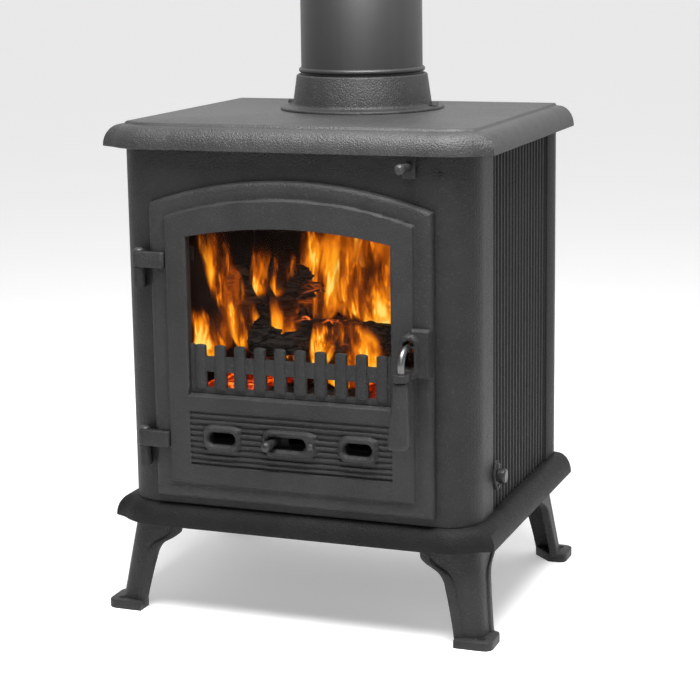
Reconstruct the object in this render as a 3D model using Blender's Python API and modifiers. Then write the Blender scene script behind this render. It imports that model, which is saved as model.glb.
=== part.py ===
"""A small cast-iron wood burning stove on four legs, modelled as the castings it is bolted up from.

Units are metres. +Z is up and the door faces -Y. The castings are drawn in a casting frame whose
Y origin is the middle of the hob plate; the empty "stove" shifts that frame back so that the
world origin is on the floor, under the middle of the whole object.
"""
import bpy
import bmesh
from math import asin, atan2, cos, pi, radians, sin, sqrt
from mathutils import Matrix, Vector

# ---------------------------------------------------------------- driving dimensions
GAP = 0.0003                 # running and resting clearance between separate pieces

FLOOR_TO_BASE = 0.094        # lip of the base plate above the floor
BASE_TOP = 0.116             # seat of the body on the base plate
HOB_LIP = 0.4765             # lower edge of the hob skirt
HOB_SHOULDER = 0.4977        # rim of the hob, just outside its raised panel
HOB_TOP = 0.5005             # raised panel of the hob
HOB_SEAT = 0.4925            # ceiling of the hob's underside, which rests on the body
PLATE_HALF_WIDTH = 0.2032    # both plates, to the lip
PLATE_REAR = 0.160
PLATE_FRONT = -0.1625
PLATE_WALL = 0.006

BODY_HALF_WIDTH = 0.1855
BODY_FRONT = -0.149
BODY_REAR = 0.158
BODY_CORNER = 0.034          # rounded front corners of the body
BODY_WALL = 0.006
STRIP_FRONT_END = -0.0835    # where the front casting stops and the fluted panel starts
STRIP_REAR_END = 0.146       # where the fluted panel stops and the back panel starts
BODY_BOTTOM = BASE_TOP + GAP
BODY_TOP = HOB_SEAT - GAP

FLUTES = 18                  # vertical grooves in each side panel
FLUTE_START = -0.082
FLUTE_PITCH = 0.0111
FLUTE_CREST = 0.1837
FLUTE_DEPTH = 0.0022
PANEL_INNER = 0.176

DOOR_HALF_WIDTH = 0.1475
DOOR_BOTTOM = 0.124
DOOR_SPRING = 0.423          # where the arch starts
DOOR_CROWN = 0.4484
DOOR_BACK = -0.1495
DOOR_BORDER = -0.157         # front of the border bead
DOOR_PANEL = -0.160          # front of the raised panel
BORDER_WIDTH = 0.018
ROPE_INSET = 0.0095          # centre line of the rope seal, in from the door's edge
MOUTH_INSET = 0.0195         # the body's door opening, in from the door's edge
GLASS_HALF_WIDTH = 0.1065
GLASS_SILL = 0.234
GLASS_SPRING = 0.391
GLASS_CROWN = 0.402
ARCH_STEPS = 12

HINGE_X = -0.1593
HINGE_Y = -0.1553
HINGE_STRAPS = ((0.3585, 0.3745), (0.176, 0.1925))
HINGE_LUG_DROP = 0.020
PIN_RADIUS = 0.003

SLOT_Z = 0.190               # height of the air slots
SLOT_SPACING = 0.072
SLOT_HALF = 0.01445
SLOT_RADIUS = 0.00625
MIDDLE_SLOT = (-0.023, 0.0175)
AIR_KNOB_X = -0.0175
RIB_PANEL = (0.107, 0.1602, 0.2188)
RIBS = 10

LATCH_X = 0.1257
LATCH_PIVOT = (-0.163, 0.2952)
LATCH_BOSS = (0.2675, 0.308)
LATCH_SLOT = (0.2735, 0.3016)

FLUE_Y = 0.0597
PIPE_RADIUS = 0.0635         # five inch flue pipe
PIPE_WALL = 0.002
PIPE_TOP = 0.660
ROUND_STEPS = 40

TIE_BOLT = (0.158, 0.121)
RIDDLE_Y = -0.076
RIDDLE_Z = 0.152
GRATE_TOP = 0.218
FRONT_REACH = -0.2024        # foremost point of the handle, in the casting frame
LEG_REACH = 0.162            # rearmost point of the feet

IRON = (0.055, 0.055, 0.056)


# ---------------------------------------------------------------- scene and materials
def clear_scene():
    for thing in list(bpy.data.objects):
        bpy.data.objects.remove(thing, do_unlink=True)


def collection(name):
    made = bpy.data.collections.new(name)
    bpy.context.scene.collection.children.link(made)
    return made


clear_scene()
PARTS = collection("wood_burning_stove")
CUTTERS = collection("cutters")


def empty(name, location=(0, 0, 0), parent=None):
    thing = bpy.data.objects.new(name, None)
    thing.empty_display_size = 0.02
    thing.location = location
    PARTS.objects.link(thing)
    if parent:
        thing.parent = parent
        thing.matrix_parent_inverse = Matrix.Translation(-Vector(anchor_of(parent)))
    return thing


def anchor_of(thing):
    """Where an empty stands in the casting frame."""
    return (0, 0, 0) if thing is STOVE else thing.location


STOVE = empty("stove")


def paint(thing, color, roughness, metallic):
    material = bpy.data.materials.new(thing.name)
    material.use_nodes = True
    shader = material.node_tree.nodes["Principled BSDF"]
    shader.inputs["Base Color"].default_value = (*color, 1)
    shader.inputs["Roughness"].default_value = roughness
    shader.inputs["Metallic"].default_value = metallic
    thing.data.materials.clear()
    thing.data.materials.append(material)


def part(thing, parent=None, color=IRON, roughness=0.6, metallic=0.3):
    """File a finished object as a sub-part, riding on an empty, with its own material."""
    for group in list(thing.users_collection):
        group.objects.unlink(thing)
    PARTS.objects.link(thing)
    rider = parent or STOVE
    thing.parent = rider
    thing.matrix_parent_inverse = Matrix.Translation(-Vector(anchor_of(rider)))
    paint(thing, color, roughness, metallic)
    thing.data.shade_smooth()
    thing.data.set_sharp_from_angle(angle=radians(35))
    return thing


def cutter(thing):
    """File an object as a guide for Booleans, left out of the finished stove."""
    for group in list(thing.users_collection):
        group.objects.unlink(thing)
    CUTTERS.objects.link(thing)
    thing.parent = STOVE
    thing.matrix_parent_inverse = Matrix()
    thing.hide_render = True
    thing.display_type = "WIRE"
    return thing


def combine(thing, others, operation):
    for other in others:
        cutter(other)
        step = thing.modifiers.new(operation.lower(), "BOOLEAN")
        step.operation = operation
        step.solver = "EXACT"
        step.object = other
    return thing


def join(thing, *others):
    return combine(thing, others, "UNION")


def cut(thing, *others):
    return combine(thing, others, "DIFFERENCE")


# ---------------------------------------------------------------- mesh makers
def object_from(name, mesh):
    thing = bpy.data.objects.new(name, mesh)
    PARTS.objects.link(thing)
    return thing


def finish_mesh(name, shape):
    bmesh.ops.remove_doubles(shape, verts=shape.verts, dist=1e-6)
    bmesh.ops.recalc_face_normals(shape, faces=shape.faces)
    mesh = bpy.data.meshes.new(name)
    shape.to_mesh(mesh)
    shape.free()
    return object_from(name, mesh)


def box(name, low, high):
    """A block between two corners."""
    shape = bmesh.new()
    size = [b - a for a, b in zip(low, high)]
    middle = [(a + b) / 2 for a, b in zip(low, high)]
    place = Matrix.Translation(middle) @ Matrix.Diagonal((*size, 1))
    bmesh.ops.create_cube(shape, size=1, matrix=place)
    return finish_mesh(name, shape)


def rod(name, start, end, radius, end_radius=None, segments=20):
    """A round bar or cone from one point to another."""
    shape = bmesh.new()
    run = Vector(end) - Vector(start)
    turn = Vector((0, 0, 1)).rotation_difference(run).to_matrix().to_4x4()
    place = Matrix.Translation((Vector(start) + Vector(end)) / 2) @ turn
    bmesh.ops.create_cone(shape, cap_ends=True, segments=segments, radius1=radius,
                          radius2=radius if end_radius is None else end_radius,
                          depth=run.length, matrix=place)
    return finish_mesh(name, shape)


def loft(name, rings, around=False):
    """A skin over matching rings of points, capped at both ends, or closed on itself."""
    shape = bmesh.new()
    rows = [[shape.verts.new(point) for point in ring] for ring in rings]
    pairs = list(zip(rows, rows[1:]))
    if around:
        pairs.append((rows[-1], rows[0]))
    for lower, upper in pairs:
        for i in range(len(lower)):
            j = (i + 1) % len(lower)
            shape.faces.new((lower[i], lower[j], upper[j], upper[i]))
    if not around:
        shape.faces.new(rows[0])
        shape.faces.new(rows[-1])
    return finish_mesh(name, shape)


def sheet(name, outlines, low, high, upright=False):
    """A flat plate of constant thickness. Each outline is a loop, and inner loops are holes.

    A plan outline is (x, y) and runs from low to high in Z. An upright one is (x, z) and runs
    from low to high in Y.
    """
    curve = bpy.data.curves.new(name, "CURVE")
    curve.dimensions = "2D"
    curve.fill_mode = "BOTH"
    curve.extrude = (high - low) / 2
    for outline in outlines:
        spline = curve.splines.new("POLY")
        spline.points.add(len(outline) - 1)
        for knot, (u, v) in zip(spline.points, outline):
            knot.co = (u, v, 0, 1)
        spline.use_cyclic_u = True
    guide = bpy.data.objects.new(name, curve)
    PARTS.objects.link(guide)
    middle = (low + high) / 2
    if upright:
        place = Matrix.Translation((0, middle, 0)) @ Matrix.Rotation(pi / 2, 4, "X")
    else:
        place = Matrix.Translation((0, 0, middle))
    return solid_from_curve(guide, place)


def solid_from_curve(guide, place=None):
    """The closed mesh of a curve object, with its caps welded on."""
    bpy.context.view_layer.update()
    evaluated = guide.evaluated_get(bpy.context.evaluated_depsgraph_get())
    mesh = bpy.data.meshes.new_from_object(evaluated)
    name = guide.name
    bpy.data.objects.remove(guide, do_unlink=True)
    shape = bmesh.new()
    shape.from_mesh(mesh)
    bpy.data.meshes.remove(mesh)
    if place:
        bmesh.ops.transform(shape, matrix=place, verts=shape.verts)
    return finish_mesh(name, shape)


def wire(name, points, radius, closed=False, sides=2):
    """A round wire along straight runs between points."""
    curve = bpy.data.curves.new(name, "CURVE")
    curve.dimensions = "3D"
    curve.bevel_depth = radius
    curve.bevel_resolution = sides
    curve.use_fill_caps = not closed
    spline = curve.splines.new("POLY")
    spline.points.add(len(points) - 1)
    for knot, point in zip(spline.points, points):
        knot.co = (*point, 1)
    spline.use_cyclic_u = closed
    guide = bpy.data.objects.new(name, curve)
    PARTS.objects.link(guide)
    return solid_from_curve(guide)


def turned(name, profile, center, steps=ROUND_STEPS):
    """A closed (radius, z) profile, drawn down its outer side first, turned about a vertical axis."""
    mesh = bpy.data.meshes.new(name)
    points = [(radius, 0, z) for radius, z in profile]
    edges = [(i, (i + 1) % len(points)) for i in range(len(points))]
    mesh.from_pydata(points, edges, [])
    thing = object_from(name, mesh)
    thing.location = (*center, 0)
    screw = thing.modifiers.new("turn", "SCREW")
    screw.axis = "Z"
    screw.angle = 2 * pi
    screw.steps = steps
    screw.render_steps = steps
    screw.use_merge_vertices = True
    screw.merge_threshold = 0.00005
    return thing


# ---------------------------------------------------------------- outlines
def arc(center, radius, start, end, steps):
    """Points on an arc, angles in degrees, both ends included."""
    angles = [radians(start + (end - start) * i / steps) for i in range(steps + 1)]
    return [(center[0] + radius * cos(a), center[1] + radius * sin(a)) for a in angles]


def inset(path, distance, closed=True):
    """Move a path to its left by a distance, keeping mitred corners."""
    moved = []
    count = len(path)
    for i, here in enumerate(path):
        here = Vector(here)
        last = here - Vector(path[i - 1]) if closed or i > 0 else None
        following = Vector(path[(i + 1) % count]) - here if closed or i < count - 1 else None
        normals = [Vector((-d.y, d.x)).normalized() for d in (last, following) if d is not None]
        miter = sum(normals, Vector((0, 0)))
        miter *= distance * len(normals) / miter.length_squared if len(normals) > 1 else distance
        moved.append(tuple(here + miter))
    return moved


def mirrored(points):
    """A left-hand copy of right-hand points, in reverse order."""
    return [(-x, y) for x, y in reversed(points)]


def arched(half_width, bottom, spring, crown, steps=ARCH_STEPS):
    """A rectangle whose top is a shallow arch, counter-clockwise from the lower right corner."""
    rise = crown - spring
    radius = (half_width ** 2 + rise ** 2) / (2 * rise)
    sweep = asin(half_width / radius) * 180 / pi
    arch = arc((0, crown - radius), radius, 90 - sweep, 90 + sweep, steps)
    return [(half_width, bottom)] + arch + [(-half_width, bottom)]


def door_outline(distance=0.0):
    return inset(arched(DOOR_HALF_WIDTH, DOOR_BOTTOM, DOOR_SPRING, DOOR_CROWN), distance)


def glass_outline(spread=0.0, sill_drop=0.0):
    """The window in the door, spread outwards, with its sill lowered further."""
    return arched(GLASS_HALF_WIDTH + spread, GLASS_SILL - sill_drop, GLASS_SPRING + spread,
                  GLASS_CROWN + spread)


def stadium(center_x, center_z, half_length, radius, steps=6):
    """A slot outline with round ends, counter-clockwise."""
    straight = half_length - radius
    right = arc((center_x + straight, center_z), radius, -90, 90, steps)
    left = arc((center_x - straight, center_z), radius, 90, 270, steps)
    return right + left


def upright_ring(outline, y):
    return [(x, y, z) for x, z in outline]


def plate_path():
    """The lip of a plate from its rear left corner round the front to its rear right corner."""
    corner = arc((0.150, PLATE_FRONT + 0.056), 0.056, -90, -45, 5)
    front_right = corner + [(PLATE_HALF_WIDTH, -0.1395)]
    right = front_right + [(PLATE_HALF_WIDTH, PLATE_REAR)]
    return mirrored(right) + right


def plate_ring(distance, z, rear=PLATE_REAR):
    ring = inset(plate_path(), distance, closed=False)
    ring[0] = (ring[0][0], rear)
    ring[-1] = (ring[-1][0], rear)
    return [(x, y, z) for x, y in ring]


def body_path(distance, end_y):
    """The front of the body in plan, from one side round both rounded corners to the other."""
    center = BODY_HALF_WIDTH - BODY_CORNER
    corner = arc((center, BODY_FRONT + BODY_CORNER), BODY_CORNER - distance, -90, 0, 12)
    right = corner + [(BODY_HALF_WIDTH - distance, end_y)]
    return mirrored(right) + right


# ---------------------------------------------------------------- plates and legs
ROLL = ((0, 0), (0.0015, 0.32), (0.0035, 0.57), (0.0065, 0.78), (0.011, 0.92), (0.0165, 1))


def plate_skin(name, lip, shoulder, crown):
    """A plate with a rolled lip on its front and sides: inset against height, then a raised panel."""
    rings = [plate_ring(distance, lip + share * (shoulder - lip)) for distance, share in ROLL]
    if crown > shoulder:
        rings += [plate_ring(0.0188, shoulder + 0.0002), plate_ring(0.0205, crown)]
    return loft(name, rings)


def plate_pocket(name, lip, ceiling):
    """The hollow underside of a plate, open at the back."""
    rings = [plate_ring(PLATE_WALL, lip - 0.002, PLATE_REAR + 0.002),
             plate_ring(PLATE_WALL + 0.0005, lip + 0.0085, PLATE_REAR + 0.002),
             plate_ring(PLATE_WALL + 0.005, ceiling, PLATE_REAR + 0.002)]
    return loft(name, rings)


def tie_points():
    return [("front_left", -1, -1), ("front_right", 1, -1), ("rear_left", -1, 1), ("rear_right", 1, 1)]


BASE_SEAT = 0.110            # ceiling of the base plate's underside, where the legs bolt on
RUNNER_TOP = 0.1442


def base_plate():
    plate = plate_skin("base_plate", FLOOR_TO_BASE, BASE_TOP, BASE_TOP)
    cut(plate, plate_pocket("base_pocket", FLOOR_TO_BASE, BASE_SEAT))
    for side in (-1, 1):
        low = (side * 0.088 - 0.004, -0.130, BASE_TOP - 0.003)
        high = (side * 0.088 + 0.004, 0.104, RUNNER_TOP)
        join(plate, box("runner", low, high))
    for _, side, end in tie_points():
        spot = (side * TIE_BOLT[0], end * TIE_BOLT[1])
        cut(plate, rod("tie_hole", (*spot, 0.100), (*spot, 0.125), 0.0046, segments=16))
    part(plate)


def leg_section(z, reach, apex, corner_radius):
    """One level of a leg: a rounded V in plan with a raised bead along each free edge."""
    side, front = apex, -(apex - 0.042)
    bead, bead_width, thickness = 0.002, 0.009, 0.006
    front_end, side_end = side - reach, front + reach * 1.1
    outer = [(front_end, front - bead), (front_end + bead_width, front - bead),
             (front_end + bead_width + bead, front)]
    outer += arc((side - corner_radius, front + corner_radius), corner_radius, -90, 0, 5)
    outer += [(side, side_end - bead_width - bead), (side + bead, side_end - bead_width),
              (side + bead, side_end)]
    inner_radius = max(corner_radius - thickness, 0.003)
    inner = [(side - thickness, side_end), (side - thickness, side_end - bead_width)]
    pivot = (side - thickness - inner_radius, front + thickness + inner_radius)
    inner += arc(pivot, inner_radius, 0, -90, 5)
    inner += [(front_end + bead_width, front + thickness), (front_end, front + thickness)]
    return [(x, y, z) for x, y in outer + inner]


LEG_TOP = BASE_SEAT - GAP
LEG_LEVELS = (                # height, arm length, corner radius
    (LEG_TOP, 0.057, 0.024), (0.082, 0.057, 0.022), (0.0765, 0.051, 0.021), (0.073, 0.044, 0.020),
    (0.069, 0.0385, 0.020), (0.062, 0.035, 0.019), (0.045, 0.0325, 0.017), (0.020, 0.030, 0.015),
    (0.006, 0.0295, 0.014))
LEG_SPLAY = (0.197, 0.183)    # apex of the V at the floor and at the top
PAD = ((0.168, -0.162), (0.197, -0.162), (0.2034, -0.1594), (0.206, -0.153), (0.206, -0.130),
       (0.200, -0.124), (0.187, -0.124), (0.168, -0.143))
LUG = ((0.140, -0.137), (0.160, -0.1375), (0.1775, -0.122), (0.1775, -0.098), (0.147, -0.106))
PAD_THICKNESS = 0.009


def leg(name, side, end):
    """A splayed cast leg. It is drawn at the front right and flipped to its own corner."""
    def place(points):
        return [(side * x, -end * y, z) for x, y, z in points]

    def flat(outline, low, high, label):
        rings = [place([(x, y, z) for x, y in outline]) for z in (low, high)]
        return loft(label, rings)

    levels = []
    for z, reach, corner_radius in LEG_LEVELS:
        apex = LEG_SPLAY[0] + (LEG_SPLAY[1] - LEG_SPLAY[0]) * z / LEG_TOP
        levels.append(place(leg_section(z, reach, apex, corner_radius)))
    body = loft(name, levels)
    join(body, flat(PAD, 0, PAD_THICKNESS, "pad"), flat(LUG, LEG_TOP - 0.006, LEG_TOP, "lug"))
    pad_hole = (side * 0.1935, end * 0.1515)
    tie = (side * TIE_BOLT[0], end * TIE_BOLT[1])
    cut(body, rod("pad_hole", (*pad_hole, -0.002), (*pad_hole, 0.012), 0.0045, segments=16))
    cut(body, rod("tie_hole", (*tie, 0.095), (*tie, 0.115), 0.0046, segments=16))
    part(body)


def tie_bolt(name, side, end):
    """A long bolt: its head clamps the leg, and its shank runs up inside the body to the hob."""
    spot = (side * TIE_BOLT[0], end * TIE_BOLT[1])
    head_top = LEG_TOP - 0.006 - GAP
    bolt = rod(name, (*spot, head_top - 0.0055), (*spot, head_top), 0.0073, segments=6)
    join(bolt, rod("shank", (*spot, head_top - 0.001), (*spot, BODY_TOP), 0.004, segments=14))
    part(bolt, color=(0.25, 0.25, 0.25), roughness=0.4, metallic=0.9)


def hob_plate():
    plate = plate_skin("hob_plate", HOB_LIP, HOB_SHOULDER, HOB_TOP)
    cut(plate, plate_pocket("hob_pocket", HOB_LIP, HOB_SEAT))
    cut(plate, rod("flue_hole", (0, FLUE_Y, 0.48), (0, FLUE_Y, 0.51), 0.0605, segments=ROUND_STEPS))
    part(plate, roughness=0.5)


# ---------------------------------------------------------------- body castings
def lug_block(low, high):
    """A fixed hinge lug: a round knuckle with a web back into the corner of the body."""
    knuckle = rod("hinge_lug", (HINGE_X, HINGE_Y, low), (HINGE_X, HINGE_Y, high), 0.0062, segments=18)
    web = box("hinge_web", (HINGE_X - 0.0045, HINGE_Y, low), (HINGE_X + 0.0045, -0.1435, high))
    join(knuckle, web)
    return knuckle


def applied(thing):
    """Turn an object's modifiers into mesh, so that it can be an operand itself."""
    bpy.context.view_layer.update()
    evaluated = thing.evaluated_get(bpy.context.evaluated_depsgraph_get())
    mesh = bpy.data.meshes.new_from_object(evaluated)
    thing.modifiers.clear()
    thing.data = mesh
    return thing


def front_casting():
    outer = body_path(0, STRIP_FRONT_END)
    inner = body_path(BODY_WALL, STRIP_FRONT_END)
    casting = sheet("front_casting", [outer + inner[::-1]], BODY_BOTTOM, BODY_TOP)
    cut(casting, sheet("mouth", [door_outline(MOUTH_INSET)], -0.160, -0.130, upright=True))
    cut(casting, box("latch_notch", (0.115, -0.155, 0.275), (0.1312, -0.140, 0.303)))
    for low, _ in HINGE_STRAPS:
        join(casting, applied(lug_block(low - HINGE_LUG_DROP, low - GAP)))
    for low, _ in HINGE_STRAPS:
        start = (HINGE_X, HINGE_Y, low - HINGE_LUG_DROP + 0.004)
        cut(casting, rod("pin_hole", start, (HINGE_X, HINGE_Y, low + 0.002), PIN_RADIUS + GAP, segments=16))
    for half_x, half_z in ((0.0045, 0.0011), (0.0011, 0.0045)):
        low = (0.1505 - half_x, BODY_FRONT - 0.0007, 0.459 - half_z)
        high = (0.1505 + half_x, BODY_FRONT + 0.002, 0.459 + half_z)
        join(casting, box("plus_mark", low, high))
    part(casting)


def side_outline(side):
    """A side panel in plan: a fluted field, then a plain strip that stands proud at the back."""
    outer = [(FLUTE_CREST, STRIP_FRONT_END + GAP)]
    quarter = FLUTE_PITCH / 4
    for i in range(FLUTES):
        y = FLUTE_START + FLUTE_PITCH * (i + 0.5)
        valley = FLUTE_CREST - FLUTE_DEPTH
        outer += [(FLUTE_CREST, y - quarter * 1.25), (valley, y - quarter * 0.5),
                  (valley, y + quarter * 0.5), (FLUTE_CREST, y + quarter * 1.25)]
    strip = FLUTE_START + FLUTE_PITCH * FLUTES + 0.0005
    outer += [(FLUTE_CREST, strip), (BODY_HALF_WIDTH, strip), (BODY_HALF_WIDTH, STRIP_REAR_END - GAP)]
    outer += [(PANEL_INNER, STRIP_REAR_END - GAP), (PANEL_INNER, STRIP_FRONT_END + GAP)]
    return [(side * x, y) for x, y in outer]


LEDGE_TOP = 0.1997


def side_panel(name, side):
    panel = sheet(name, [side_outline(side)], BODY_BOTTOM, BODY_TOP)
    ends = sorted((side * 0.168, side * (PANEL_INNER + 0.001)))
    join(panel, box("ledge", (ends[0], -0.079, 0.192), (ends[1], 0.106, LEDGE_TOP)))
    if side > 0:
        start = (0.170, RIDDLE_Y, RIDDLE_Z)
        cut(panel, rod("riddle_hole", start, (0.190, RIDDLE_Y, RIDDLE_Z), 0.0048, segments=18))
    part(panel, roughness=0.7)


def back_panel():
    rear = BODY_REAR
    corner = arc((BODY_HALF_WIDTH - 0.006, rear - 0.006), 0.006, 0, 90, 4)
    right = [(BODY_HALF_WIDTH, STRIP_REAR_END)] + corner
    inside = [(BODY_HALF_WIDTH - BODY_WALL, rear - BODY_WALL), (BODY_HALF_WIDTH - BODY_WALL, STRIP_REAR_END)]
    outline = right + mirrored(right) + [(-x, y) for x, y in reversed(inside)] + inside
    panel = sheet("back_panel", [outline], BODY_BOTTOM, BODY_TOP)
    part(panel)


# ---------------------------------------------------------------- flue
def flue():
    top = 0.537
    profile = [(0.0655, top), (0.0680, top - 0.0005), (0.0690, top - 0.003), (0.0720, 0.5045),
               (0.0860, 0.5030), (0.0860, HOB_TOP + GAP), (0.0580, HOB_TOP + GAP), (0.0580, 0.5115),
               (PIPE_RADIUS + 0.0005, 0.5115), (PIPE_RADIUS + 0.0005, top - 0.0005)]
    part(turned("flue_collar", profile, (0, FLUE_Y)))
    bead = [(PIPE_RADIUS + 0.0023 * sin(radians(a)), 0.5415 + 0.0032 * cos(radians(a)))
            for a in range(0, 181, 30)]
    outer = [(PIPE_RADIUS, PIPE_TOP)] + bead + [(PIPE_RADIUS, 0.512)]
    inner = [(PIPE_RADIUS - PIPE_WALL, 0.512), (PIPE_RADIUS - PIPE_WALL, PIPE_TOP)]
    pipe = turned("flue_pipe", outer + inner, (0, FLUE_Y))
    part(pipe, color=(0.07, 0.07, 0.072), roughness=0.45)
    for name, side in (("collar_bolt_left", -1), ("collar_bolt_right", 1)):
        spot = (side * 0.079, FLUE_Y)
        bolt = rod(name, (*spot, 0.5047), (*spot, 0.5085), 0.0055, 0.0045, segments=6)
        part(bolt, color=(0.08, 0.08, 0.08), roughness=0.5, metallic=0.7)


# ---------------------------------------------------------------- door
DOOR = empty("door_hinge_axis", (HINGE_X, HINGE_Y, 0.265), STOVE)


def rib_cutter():
    """Grooves between the ribs of the air panel, as one comb drawn in side view."""
    half_width, low, high = RIB_PANEL
    pitch = (high - low) / RIBS
    crest, valley = DOOR_PANEL + 0.0008, DOOR_PANEL + 0.0028
    comb = [(DOOR_PANEL - 0.004, low)]
    for i in range(RIBS):
        z = low + pitch * i
        comb += [(valley, z), (valley, z + pitch * 0.34), (crest, z + pitch * 0.52), (crest, z + pitch * 0.86)]
    comb += [(valley, high), (DOOR_PANEL - 0.004, high)]
    rings = [[(x, y, z) for y, z in comb] for x in (-half_width, half_width)]
    return loft("rib_grooves", rings)


def slot_boss(name, center_x, half_length):
    """A raised oval boss with chamfered edges."""
    levels = ((0, DOOR_PANEL + 0.005), (0, DOOR_PANEL - 0.0022), (0.0032, DOOR_PANEL - 0.0042))
    rings = [upright_ring(stadium(center_x, SLOT_Z, half_length - d, 0.014 - d), y) for d, y in levels]
    return loft(name, rings)


def slot_cutter(low_x, high_x):
    """A slot right through the door with a flared mouth."""
    center, half = (low_x + high_x) / 2, (high_x - low_x) / 2
    levels = ((0.0028, DOOR_PANEL - 0.0048), (0, DOOR_PANEL - 0.0012), (0, DOOR_BACK + 0.003))
    rings = [upright_ring(stadium(center, SLOT_Z, half + d, SLOT_RADIUS + d), y) for d, y in levels]
    return loft("air_slot", rings)


def air_slots():
    return [(-SLOT_SPACING - SLOT_HALF, -SLOT_SPACING + SLOT_HALF), MIDDLE_SLOT,
            (SLOT_SPACING - SLOT_HALF, SLOT_SPACING + SLOT_HALF)]


def tall_oval(half_width, low, high, steps=6):
    top = arc((LATCH_X, high - half_width), half_width, 0, 180, steps)
    bottom = arc((LATCH_X, low + half_width), half_width, 180, 360, steps)
    return top + bottom


def latch_boss():
    levels = ((0, -0.158), (0, -0.1642), (0.0018, -0.166))
    rings = [upright_ring(tall_oval(0.0098 - d, LATCH_BOSS[0] + d, LATCH_BOSS[1] - d), y) for d, y in levels]
    return loft("latch_boss", rings)


def latch_slot():
    levels = ((0.0015, -0.1665), (0, -0.1645), (0, -0.147))
    rings = [upright_ring(tall_oval(0.0053 + d, LATCH_SLOT[0] - d, LATCH_SLOT[1] + d), y) for d, y in levels]
    return loft("latch_slot", rings)


def hinge_strap(low, high):
    knuckle = rod("strap_eye", (HINGE_X, HINGE_Y, low), (HINGE_X, HINGE_Y, high), 0.0068, segments=20)
    strap = box("strap", (HINGE_X, -0.1605, low), (-0.1305, HINGE_Y + 0.0015, high))
    return applied(join(knuckle, strap))


def rope_channel():
    outer, inner = door_outline(ROPE_INSET - 0.0031), door_outline(ROPE_INSET + 0.0031)
    back, floor = DOOR_BACK + 0.003, DOOR_BACK - 0.0053
    rings = [upright_ring(outer, back), upright_ring(outer, floor), upright_ring(inner, floor),
             upright_ring(inner, back)]
    return loft("rope_channel", rings, around=True)


def door_casting():
    levels = ((0, DOOR_BACK), (0, -0.1525), (0.0012, -0.1548), (0.0042, -0.1566), (0.0085, DOOR_BORDER),
              (BORDER_WIDTH - 0.0007, DOOR_BORDER), (BORDER_WIDTH + 0.0006, DOOR_PANEL + 0.0006),
              (BORDER_WIDTH + 0.0022, DOOR_PANEL))
    door = loft("door_casting", [upright_ring(door_outline(d), y) for d, y in levels])
    window = [upright_ring(glass_outline(0.0022, 0.0035), DOOR_PANEL - 0.001),
              upright_ring(glass_outline(0.0018, 0.0030), DOOR_PANEL + 0.0003),
              upright_ring(glass_outline(0, 0), -0.1568),
              upright_ring(glass_outline(0, 0), DOOR_BACK + 0.003)]
    cut(door, loft("window", window), rib_cutter())
    bosses = [slot_boss("air_boss", x, half) for x, half in ((-SLOT_SPACING, 0.0213), (0, 0.0292), (SLOT_SPACING, 0.0213))]
    pad = box("latch_pad", (0.127, -0.1625, 0.2645), (0.1462, -0.154, 0.3125))
    straps = [hinge_strap(low, high) for low, high in HINGE_STRAPS]
    join(door, *bosses, pad, latch_boss(), *straps)
    cut(door, *[slot_cutter(*ends) for ends in air_slots()])
    cut(door, latch_slot(), rope_channel())
    for low, high in HINGE_STRAPS:
        cut(door, rod("pin_hole", (HINGE_X, HINGE_Y, low - 0.002), (HINGE_X, HINGE_Y, high + 0.002),
                      PIN_RADIUS + GAP, segments=16))
    pivot_y, pivot_z = LATCH_PIVOT
    cut(door, rod("pivot_hole", (LATCH_X - 0.0083, pivot_y, pivot_z), (LATCH_X + 0.0083, pivot_y, pivot_z),
                  0.0016, segments=12))
    part(door, DOOR)


FENCE_BARS = 10
FENCE_PITCH = 0.0213
FENCE_TOP = 0.2832
FENCE_FOOT = GLASS_SILL + GAP


def log_fence():
    """The comb across the foot of the window: a web with little windows, and proud upright bars."""
    end = GLASS_HALF_WIDTH - GAP
    notch_floor = FENCE_TOP - 0.0118
    bar = 0.0058
    centers = [(i - (FENCE_BARS - 1) / 2) * FENCE_PITCH for i in range(FENCE_BARS)]
    outline = [(-end, FENCE_FOOT), (end, FENCE_FOOT), (end, FENCE_TOP)]
    for left, right in reversed(list(zip(centers, centers[1:]))):
        outline += [(right - bar, FENCE_TOP), (right - bar, notch_floor), (left + bar, notch_floor),
                    (left + bar, FENCE_TOP)]
    outline.append((-end, FENCE_TOP))
    holes = []
    for left, right in zip(centers, centers[1:]):
        x, half = (left + right) / 2, 0.0041
        holes.append([(x - half, 0.2402), (x + half, 0.2402), (x + half, 0.2562), (x - half, 0.2562)])
    fence = sheet("log_fence", [outline] + holes, -0.1545, -0.1512, upright=True)
    bars = bmesh.new()
    for x in centers:
        half = bar if abs(x) < 0.09 else 0.0052
        place = Matrix.Translation((x, -0.1545, (FENCE_FOOT + 0.0035 + FENCE_TOP) / 2 - 0.0001))
        size = Matrix.Diagonal((2 * half, 0.0026, FENCE_TOP - FENCE_FOOT - 0.0037, 1))
        bmesh.ops.create_cube(bars, size=1, matrix=place @ size)
    join(fence, finish_mesh("fence_bars", bars))
    part(fence, DOOR)


GLASS_BACK = -0.1429


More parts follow.
